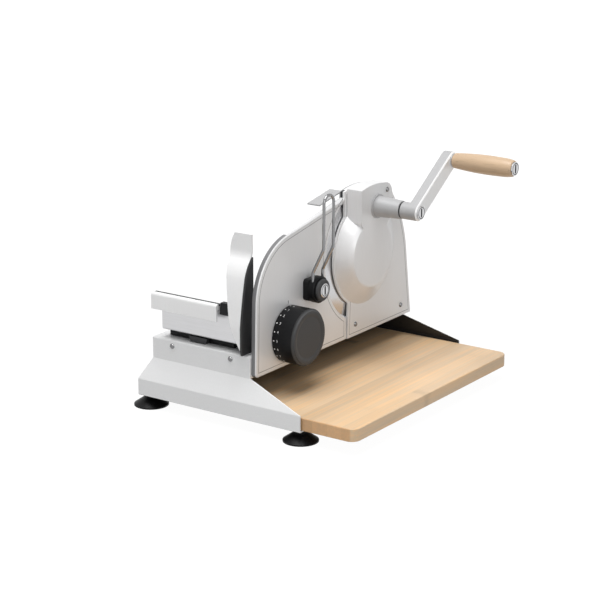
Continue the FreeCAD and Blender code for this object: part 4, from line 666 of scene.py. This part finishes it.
def edge_line(work, node):
    """A fine inlaid dark strip that follows a plate's outline a little inside it: a painted shadow
    line for the shade of a step in the plate's face.
    """
    line = work.copy()
    flat = right_faces(line)
    bmesh.ops.delete(line, geom=[face for face in line.faces if face not in flat], context="FACES")
    inner = [edge for edge in line.edges if not edge.is_boundary]
    bmesh.ops.delete(line, geom=line.faces[:], context="FACES_ONLY")
    bmesh.ops.delete(line, geom=inner, context="EDGES")
    filled = bmesh.ops.edgeloop_fill(line, edges=line.edges[:])["faces"]
    field = max(filled, key=lambda face: face.calc_area())
    for thickness in (sizes().line_in, sizes().line_wide):
        bmesh.ops.delete(line, geom=[face for face in line.faces if face != field], context="FACES")
        bmesh.ops.inset_region(line, faces=[field], thickness=thickness, use_boundary=True,
                               use_even_offset=True)
    bmesh.ops.delete(line, geom=[field], context="FACES")
    bmesh.ops.solidify(line, geom=line.faces[:], thickness=sizes().print_high)
    low, high = min(v.co.x for v in line.verts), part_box(node)[1].x
    bmesh.ops.translate(line, vec=(high - low - sizes().print_high / 2, 0, 0), verts=line.verts)
    bmesh.ops.recalc_face_normals(line, faces=line.faces)
    make_piece(line, node + "_edge_line", body_of(node), "edge_line")


def is_front_wall(face):
    """True for a rim face of an upright plate that faces the front."""
    return face.normal.y < -FRONT_WALL and abs(face.normal.x) < RIM_LEAN


def plate_piece(node, rim, bare):
    """An upright plate: soft edges, a fine painted shadow line in its face, and painted shade on
    its front rim, in another finish.
    """
    work = welded(node)
    work.normal_update()
    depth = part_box(node)[1].x - bare
    bmesh.ops.bisect_plane(work, geom=work.verts[:] + work.edges[:] + work.faces[:],
                           plane_co=(depth, 0, 0), plane_no=RIGHT)
    # painted shade: front rim faces deeper than the bare rim take the dark rim finish
    for face in work.faces:
        is_deep = face.calc_center_median().x < depth
        face.material_index = int(is_deep and is_front_wall(face))
    edge_line(work, node)
    weigh_edges(work, lambda edge: float(is_outline(edge, SHORT_PLATE, UPRIGHT)))
    piece = make_piece(work, node + "_soft", body_of(node), "silver_casting", [node], [rim])
    round_weighed(piece, sizes().plate_edge)


TIP = 0.1 * MM              # stretch at a shank's end where its radius is read
HEAD = 0.9                  # corners beyond this share of the radius are the head's
CAP_STEPS = 48
CAP_BEVEL = (0.4 * MM, 0.5 * MM)
RING_DEEP = 0.4 * MM        # depth of the ring, in painted shade, in a cap's face
RING_OUT = 1.2 * MM         # its outer edge, from the cap's edge
RING_IN = 0.2 * MM          # its inner edge, from the middle field
RING_SLOPE = 0.1 * MM       # lean of its walls
FIELD_PAST = 0.5 * MM       # middle field past the slot's ends
RING_RIM = 1.0 * MM         # pale rim outside it
RING_REACH = 0.5 * MM       # faces of the ring are no deeper than this
SUNK = 0.1 * MM             # faces deeper than this take painted shade
SLOT_REACH = 2 * MM         # reach of the slot's faces behind the head

Cap = namedtuple("Cap", "axis shank_end back face shank radius field")


def off_axis(point, axis):
    return math.hypot(point.y - axis.y, point.z - axis.z)


def measured_cap(node):
    """A cap's axis, its places along it and its radii."""
    source = welded(node)
    low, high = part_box(node)
    axis = (low + high) / 2
    radius = (high.z - low.z) / 2
    spots = [(vert.co.x, off_axis(vert.co, axis)) for vert in source.verts]
    source.free()
    shank = max(away for x, away in spots if x < low.x + TIP)
    back = min(x for x, away in spots if away > HEAD * radius)
    return Cap(axis, low.x, back, high.x, shank, radius, sizes().cap_slot_high / 2 + FIELD_PAST)


def turned_cap(cap):
    """The cap without its middle field, and the edges round that opening."""
    ring = cap.face - RING_DEEP
    profile = ((cap.shank_end, cap.shank), (cap.back, cap.shank), (cap.back, cap.radius),
               (cap.face - CAP_BEVEL[0], cap.radius), (cap.face, cap.radius - CAP_BEVEL[1]),
               (cap.face, cap.radius - RING_OUT), (ring, cap.radius - RING_OUT - RING_SLOPE),
               (ring, cap.field + RING_IN + RING_SLOPE), (cap.face, cap.field + RING_IN),
               (cap.face, cap.field))
    work = bmesh.new()
    chain = [work.verts.new((x, cap.axis.y, cap.axis.z + away)) for x, away in profile]
    for one, other in zip(chain, chain[1:]):
        work.edges.new((one, other))
    bmesh.ops.spin(work, geom=work.verts[:] + work.edges[:], axis=RIGHT, cent=cap.axis,
                   angle=ROUND, steps=CAP_STEPS, use_merge=True)
    open_edges = [edge for edge in work.edges if edge.is_boundary]
    mouth = [edge for edge in open_edges if edge.verts[0].co.x > cap.face - WELD]
    bmesh.ops.edgeloop_fill(work, edges=[edge for edge in open_edges if edge not in mouth])
    return work, mouth


def sink_slot(work, cap, mouth):
    """Close the middle field round an upright slot with round ends, and sink the slot."""
    half = sizes().cap_slot_wide / 2
    ring = bmesh.ops.create_circle(work, segments=CAP_STEPS, radius=half)["verts"]
    for vert in ring:
        across, up = vert.co.x, vert.co.y
        stretch = sizes().cap_slot_high / 2 - half
        up += math.copysign(stretch, up) if abs(up) > WELD else 0
        vert.co = Vector((cap.face, cap.axis.y + across, cap.axis.z + up))
    slot = list({edge for vert in ring for edge in vert.link_edges})
    bmesh.ops.bridge_loops(work, edges=mouth + slot)
    walls = bmesh.ops.extrude_edge_only(work, edges=slot)["geom"]
    sunk = [part for part in walls if isinstance(part, bmesh.types.BMVert)]
    bmesh.ops.translate(work, vec=(-sizes().cap_slot_deep, 0, 0), verts=sunk)
    bottom = [part for part in walls if isinstance(part, bmesh.types.BMEdge)
              and all(vert in sunk for vert in part.verts)]
    bmesh.ops.edgeloop_fill(work, edges=bottom)
    bmesh.ops.recalc_face_normals(work, faces=work.faces)


def is_dark_recess(face, cap):
    """True for a face of the slot or of the ring round the middle field: faces that take painted
    shade.
    """
    middle = face.calc_center_median()
    away = off_axis(middle, cap.axis)
    in_slot = away < cap.field and middle.x > cap.back - SLOT_REACH
    in_ring = cap.field < away < cap.radius - RING_RIM and middle.x > cap.face - RING_REACH
    return middle.x < cap.face - SUNK and (in_slot or in_ring)


def slotted_cap(node):
    """A round cap on its shank, with a sunk ring and a closed upright slot in its face, both dark
    with painted shade.
    """
    cap = measured_cap(node)
    work, mouth = turned_cap(cap)
    sink_slot(work, cap, mouth)
    for face in work.faces:
        face.material_index = int(is_dark_recess(face, cap))
    # painted shade: the slot and ring faces take the charcoal plastic
    make_piece(work, node + "_cap", body_of(node), "bright_steel", [node], ["dark_plastic"])


# ---------------------------------------------------------------- base

BASE_SHEETS = ("base_front", "base_cover", "base_rear")


def cover_shell():
    """The whole folded cover, for telling its outside from its inside."""
    shell = bmesh.new()
    for node in BASE_SHEETS:
        gather(shell, welded(node))
    shell.normal_update()
    return BVHTree.FromBMesh(shell)


def dress_sheet(node, shell):
    """One stretch of the folded cover: soft folds, and a dark painted shade on its inner faces and
    on faces that look down.
    """
    work = welded(node)
    work.normal_update()
    middle_low, middle_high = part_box("base_cover")
    sharp_rim = sizes().rim / sizes().fold

    def at_seam(edge):
        return any(abs(edge.verts[0].co.y - seam) < WELD and abs(edge.verts[1].co.y - seam) < WELD
                   for seam in (middle_low.y, middle_high.y))

    def share(edge):
        if not is_outline(edge, SHORT_FOLD, FAINT) or at_seam(edge):
            return 0.0
        return sharp_rim if any(is_narrow(face) for face in edge.link_faces) else 1.0

    weigh_edges(work, share)
    for face in work.faces:
        # painted shade: faces that look into the cover or down take the dark inside finish
        start = face.calc_center_median() + face.normal * OFF_FACE
        facing_in = shell.ray_cast(start, face.normal)[0] is not None or face.normal.z < -DOWNWARD
        face.material_index = int(facing_in and not is_narrow(face))
    piece = make_piece(work, node + "_soft", "base", "silver_sheet", [node], ["inside"])
    round_weighed(piece, sizes().fold)


def dress_base():
    """Folded cover in its three stretches, its feet, rail and screws."""
    shell = cover_shell()
    for node in BASE_SHEETS:
        dress_sheet(node, shell)
    # painted shade: the braces and the rail take the dark finish of the shade under the deck
    paint_nodes("inside", "base_braces", "carriage_rail")
    paint_nodes("steel_screw", "base_screws", "foot_screws", "rail_screws")
    paint_nodes("bare_sheet", "guide_bushes", "cam_follower")
    paint_nodes("black_rubber", "suction_feet")


def dress_board():
    """Laminated bamboo board."""
    paint_nodes("bamboo", "cutting_board")


# ---------------------------------------------------------------- carriage

def dress_carriage():
    """Carriage sheet, handle, shoes and the guard."""
    cast_piece("carriage_tray", "bare_sheet", sizes().rim)
    low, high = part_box("carriage_handle")
    # painted shade: the groove faces along the handle's top take the dark inside finish
    front, top = low.y + GROOVE_FRONT, high.z - GROOVE_DEEP
    cast_piece("carriage_handle", "bright_casting", SMALL_EDGE, is_other=lambda face:
               face.calc_center_median().y > front and face.calc_center_median().z > top)
    # the shoes are black plastic; their black also stands in for the shade in the gap under the
    # tray
    paint_nodes("dark_plastic", "carriage_shoes", "guard_holder")
    cast_piece("thumb_guard", "white_plastic", GUARD_EDGE)
    cast_piece("guard_cheek", "grey_plastic", SMALL_EDGE)


# ---------------------------------------------------------------- stop plate and knob

DOTS_AT = 2.2 * MM          # dots and figures, from the dial's left edge
FIGURES_AT = 6.6 * MM
DOT_STEPS = 16
INDEX_SIZE = (0.12 * MM, 1.0 * MM, 3.4 * MM)
INDEX_UP = 4.0 * MM         # index mark above the knob


def on_dial(work, axis, angle, radius, along):
    """Bend a flat mark round the dial: its X runs along the axis, its Y round it."""
    for vert in work.verts:
        turn = angle - vert.co.y / radius
        out = radius + vert.co.z
        vert.co = Vector((along + vert.co.x, axis.y - out * math.sin(turn),
                          axis.z + out * math.cos(turn)))


def figure_mesh(text, height, thick):
    """The mesh of a few figures, centred, lying flat."""
    curve = bpy.data.curves.new("figure", "FONT")
    curve.body = text
    curve.size = height
    curve.extrude = thick
    curve.align_x = "CENTER"
    curve.align_y = "CENTER"
    holder = new_object("figure", curve)
    bpy.context.view_layer.update()
    mesh = bpy.data.meshes.new_from_object(holder)
    bpy.data.objects.remove(holder)
    bpy.data.curves.remove(curve)
    return mesh


def dress_dial():
    """Dots and figures round the knob, in one piece that turns with it."""
    low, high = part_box("thickness_knob")
    axis = (low + high) / 2
    radius = (high.z - low.z) / 2
    thick = sizes().print_high
    joint = next(j for j in frame["joints"] if j["child"] == "thickness_knob")
    sense = math.copysign(1, joint["axis"][0])
    work = bmesh.new()
    for index in range(sizes().divisions):
        dot, figures = bmesh.new(), bmesh.new()
        bmesh.ops.create_cone(dot, cap_ends=True, segments=DOT_STEPS, radius1=sizes().dot,
                              radius2=sizes().dot, depth=2 * thick)
        flat = figure_mesh(str(index), sizes().figure, thick)
        figures.from_mesh(flat)
        bpy.data.meshes.remove(flat)
        angle = sense * index * ROUND / sizes().divisions
        for mark, along in ((dot, DOTS_AT), (figures, FIGURES_AT)):
            on_dial(mark, axis, angle, radius, low.x + along)
            gather(work, mark)
    bmesh.ops.recalc_face_normals(work, faces=work.faces)
    make_piece(work, "dial_marks", "thickness_knob", "white_print")


def gather(work, other):
    """Move one bmesh into another."""
    mesh = bpy.data.meshes.new("part")
    other.to_mesh(mesh)
    other.free()
    work.from_mesh(mesh)
    bpy.data.meshes.remove(mesh)


def dress_stop_plate():
    """Stop plate with its index mark, guides and spindle."""
    plate_piece("stop_plate", "painted_shade_rim", sizes().plate_edge)
    paint_nodes("bright_steel", "guide_rods", "knob_spindle")
    low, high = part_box("thickness_knob")
    place = (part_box("stop_plate")[1].x, (low.y + high.y) / 2, high.z + INDEX_UP)
    work = bmesh.new()
    bmesh.ops.create_cube(work, size=1)
    bmesh.ops.scale(work, vec=INDEX_SIZE, verts=work.verts)
    bmesh.ops.translate(work, vec=place, verts=work.verts)
    make_piece(work, "index_mark", "stop_plate", "black_print")


def dress_knob():
    """Charcoal knob with its softer cap."""
    paint_nodes("knob_cap", "thickness_knob")
    dress_dial()


# ---------------------------------------------------------------- housing, blade, crank

def dress_housing():
    """Fixed panel, dome and head, with the bearing tube and screws."""
    # painted shade: the housing's front rim faces past the bare rim take the dark inside finish, a
    # dark gap line beside the blade
    plate_piece("gear_housing", "inside", sizes().bright_rim)
    cast_piece("gear_cover", "silver_casting", sizes().cast_edge, SHORT_CAST)
    # the blade guard and bearing tube take the darker turned finish, partly painted shade for their
    # dark reflections
    cast_piece("blade_guard", "turned_tube", THIN_EDGE, SHORT_CAST)
    paint_nodes("turned_tube", "bearing_tube")
    paint_nodes("steel_screw", "housing_screws", "head_screw")
    paint_nodes("bare_sheet", "tube_bushes")


def dress_blade():
    """Ground blade, its gear, shaft and lock."""
    paint_nodes("blade_steel", "blade")
    paint_nodes("dark_plastic", "blade_lock", "blade_gear", "crank_gear")
    paint_nodes("bright_steel", "blade_shaft", "crank_shaft")


def dress_crank():
    """Crank arm, its slotted caps and the beech grip."""
    # painted shade: the arm's sides, faces that don't look along the axis, take the darker turned
    # finish
    cast_piece("crank_arm", "bright_casting", ARM_EDGE, other="turned_tube",
               is_other=lambda face: abs(face.normal.x) < ARM_LEAN)
    slotted_cap("crank_screw")
    slotted_cap("grip_screw")
    paint_nodes("bright_steel", "grip_axle")
    paint_nodes("dark_plastic", "crank_seal")
    paint_nodes("beech", "crank_grip")


def dress_deflector():
    """Wire deflector on its hinge."""
    cast_piece("deflector_base", "dark_plastic", SMALL_EDGE)
    slotted_cap("deflector_screw")
    paint_nodes("hinge_cap", "deflector_knob")
    paint_nodes("wire", "deflector_wire")


# ---------------------------------------------------------------- stage

CAMERA_PLACE = Vector((1.20943, -1.78401, 0.73860))
CAMERA_AZIMUTH = math.radians(35.08)
CAMERA_ELEVATION = math.radians(16.20)
CAMERA_LENS = 116.93
CAMERA_SENSOR = 36
ROOM_LIGHT = 0.24
FLOOR_SIZE = 30
FLOOR_GREY = (0.5, 0.5, 0.5, 1)
FLOOR_GLOW = 1.1
FLOOR_SHARE = 0.88          # share of the glow in what the camera sees of the floor
FLOOR_FADE = (0.3, 0.9)     # the floor turns plain white between these distances
LAMPS = (                   # name, place, target, size and power
    ("top", (0, -0.5, 2.6), (0, 0, 0.1), 1.8, 66),
    ("side", (1.8, -1.4, 1.2), (0, 0, 0.12), 1.0, 10),
)


def backdrop_world():
    """Soft even light; the camera and reflections see plain white."""
    world = bpy.data.worlds.new("soft_room")
    bpy.context.scene.world = world
    world.use_nodes = True
    tree = world.node_tree
    background = tree.nodes["Background"]
    background.inputs["Color"].default_value = WHITE
    path = tree.nodes.new("ShaderNodeLightPath")
    seen = path.outputs["Is Camera Ray"]
    for ray in ("Is Glossy Ray", "Is Transmission Ray"):
        either = tree.nodes.new("ShaderNodeMath")
        either.operation = "MAXIMUM"
        tree.links.new(seen, either.inputs[0])
        tree.links.new(path.outputs[ray], either.inputs[1])
        seen = either.outputs[0]
    strength = tree.nodes.new("ShaderNodeMapRange")
    strength.inputs["To Min"].default_value = ROOM_LIGHT
    tree.links.new(seen, strength.inputs["Value"])
    tree.links.new(strength.outputs[0], background.inputs["Strength"])


def aim(thing, place, way):
    """Put a lamp or a camera at a place, looking along a direction."""
    thing.location = place
    thing.rotation_mode = "QUATERNION"
    thing.rotation_quaternion = way.to_track_quat("-Z", "Y")


def soft_lamp(name, place, target, size, power):
    """A large area lamp that points at the machine."""
    lamp = bpy.data.lights.new(name, "AREA")
    lamp.shape = "SQUARE"
    lamp.size = size
    lamp.energy = power
    aim(new_object(name, lamp), place, Vector(target) - Vector(place))


def pale_floor():
    """Plain pale floor that keeps the machine's shadow."""
    work = bmesh.new()
    bmesh.ops.create_grid(work, x_segments=1, y_segments=1, size=FLOOR_SIZE)
    mesh = bpy.data.meshes.new("floor")
    work.to_mesh(mesh)
    work.free()
    finish = Finish("pale_floor", Base_Color=FLOOR_GREY, Roughness=0.9)
    glow = finish.node("ShaderNodeEmission", inputs={"Color": WHITE, "Strength": FLOOR_GLOW})
    path = finish.node("ShaderNodeLightPath").outputs
    seen = Level(finish, path["Is Camera Ray"]) + Level(finish, path["Is Glossy Ray"])
    x, y = finish.axes()[:2]
    far = ((x * x + y * y) ** 0.5).between(*FLOOR_FADE)
    share = seen * (FLOOR_SHARE + far * (1 - FLOOR_SHARE))
    inputs = {0: share, 1: finish.shader.outputs[0], 2: glow.outputs[0]}
    both = finish.node("ShaderNodeMixShader", inputs=inputs)
    finish.tree.links.new(both.outputs[0], finish.output.inputs["Surface"])
    mesh.materials.append(finish.material)
    new_object("floor", mesh)


def set_stage():
    """Floor, lamps, world and camera."""
    backdrop_world()
    pale_floor()
    for lamp in LAMPS:
        soft_lamp(*lamp)
    data = bpy.data.cameras.new("camera")
    data.lens = CAMERA_LENS
    data.sensor_width = CAMERA_SENSOR
    camera = new_object("camera", data)
    across = math.cos(CAMERA_ELEVATION)
    back = Vector((math.sin(CAMERA_AZIMUTH) * across, -math.cos(CAMERA_AZIMUTH) * across,
                   math.sin(CAMERA_ELEVATION)))
    aim(camera, CAMERA_PLACE, -back)
    bpy.context.scene.camera = camera
    bpy.context.scene.view_settings.view_transform = "Standard"


# ---------------------------------------------------------------- operators and panel

class SLICER_OT_base(bpy.types.Operator):
    """Dress the base cover, its feet, rail and screws"""
    bl_idname = "slicer.base"
    bl_label = "Base"

    def execute(self, context):
        dress_base()
        return {"FINISHED"}


class SLICER_OT_board(bpy.types.Operator):
    """Dress the cutting board"""
    bl_idname = "slicer.board"
    bl_label = "Cutting Board"

    def execute(self, context):
        dress_board()
        return {"FINISHED"}


class SLICER_OT_carriage(bpy.types.Operator):
    """Dress the carriage and the thumb guard"""
    bl_idname = "slicer.carriage"
    bl_label = "Carriage"

    def execute(self, context):
        dress_carriage()
        return {"FINISHED"}


class SLICER_OT_stop_plate(bpy.types.Operator):
    """Dress the stop plate and its guides"""
    bl_idname = "slicer.stop_plate"
    bl_label = "Stop Plate"

    def execute(self, context):
        dress_stop_plate()
        return {"FINISHED"}


class SLICER_OT_knob(bpy.types.Operator):
    """Dress the thickness knob and print its dial"""
    bl_idname = "slicer.knob"
    bl_label = "Thickness Knob"

    def execute(self, context):
        dress_knob()
        return {"FINISHED"}


class SLICER_OT_housing(bpy.types.Operator):
    """Dress the gear housing, blade guard and bearing tube"""
    bl_idname = "slicer.housing"
    bl_label = "Gear Housing"

    def execute(self, context):
        dress_housing()
        return {"FINISHED"}


class SLICER_OT_blade(bpy.types.Operator):
    """Dress the blade, the gears and their shafts"""
    bl_idname = "slicer.blade"
    bl_label = "Blade and Gears"

    def execute(self, context):
        dress_blade()
        return {"FINISHED"}


class SLICER_OT_crank(bpy.types.Operator):
    """Dress the crank and its grip"""
    bl_idname = "slicer.crank"
    bl_label = "Crank"

    def execute(self, context):
        dress_crank()
        return {"FINISHED"}


class SLICER_OT_deflector(bpy.types.Operator):
    """Dress the wire deflector and its hinge"""
    bl_idname = "slicer.deflector"
    bl_label = "Deflector"

    def execute(self, context):
        dress_deflector()
        return {"FINISHED"}


class SLICER_OT_stage(bpy.types.Operator):
    """Set the floor, the lamps and the camera"""
    bl_idname = "slicer.stage"
    bl_label = "Stage"

    def execute(self, context):
        set_stage()
        return {"FINISHED"}


OPERATORS = (
    SLICER_OT_base, SLICER_OT_board, SLICER_OT_carriage, SLICER_OT_stop_plate, SLICER_OT_knob,
    SLICER_OT_housing, SLICER_OT_blade, SLICER_OT_crank, SLICER_OT_deflector, SLICER_OT_stage,
)


class SLICER_PT_finish(bpy.types.Panel):
    """Colours, sizes and the steps that dress the slicer"""
    bl_label = "Slicer"
    bl_idname = "SLICER_PT_finish"
    bl_space_type = "VIEW_3D"
    bl_region_type = "UI"
    bl_category = "Slicer"

    def draw(self, context):
        for group in (context.scene.slicer_colours, context.scene.slicer_sizes):
            box = self.layout.box()
            for name in group.bl_rna.properties.keys():
                if name not in ("rna_type", "name"):
                    box.prop(group, name)
        for operator in OPERATORS:
            self.layout.operator(operator.bl_idname)


CLASSES = (SlicerColours, SlicerSizes, *OPERATORS, SLICER_PT_finish)


def register():
    for cls in CLASSES:
        bpy.utils.register_class(cls)
    bpy.types.Scene.slicer_colours = PointerProperty(type=SlicerColours)
    bpy.types.Scene.slicer_sizes = PointerProperty(type=SlicerSizes)


def unregister():
    del bpy.types.Scene.slicer_sizes
    del bpy.types.Scene.slicer_colours
    for cls in reversed(CLASSES):
        bpy.utils.unregister_class(cls)


def main():
    """Dress the whole machine."""
    register()
    for operator in OPERATORS:
        group, name = operator.bl_idname.split(".")
        getattr(getattr(bpy.ops, group), name)()


if __name__ == "__main__":
    main()
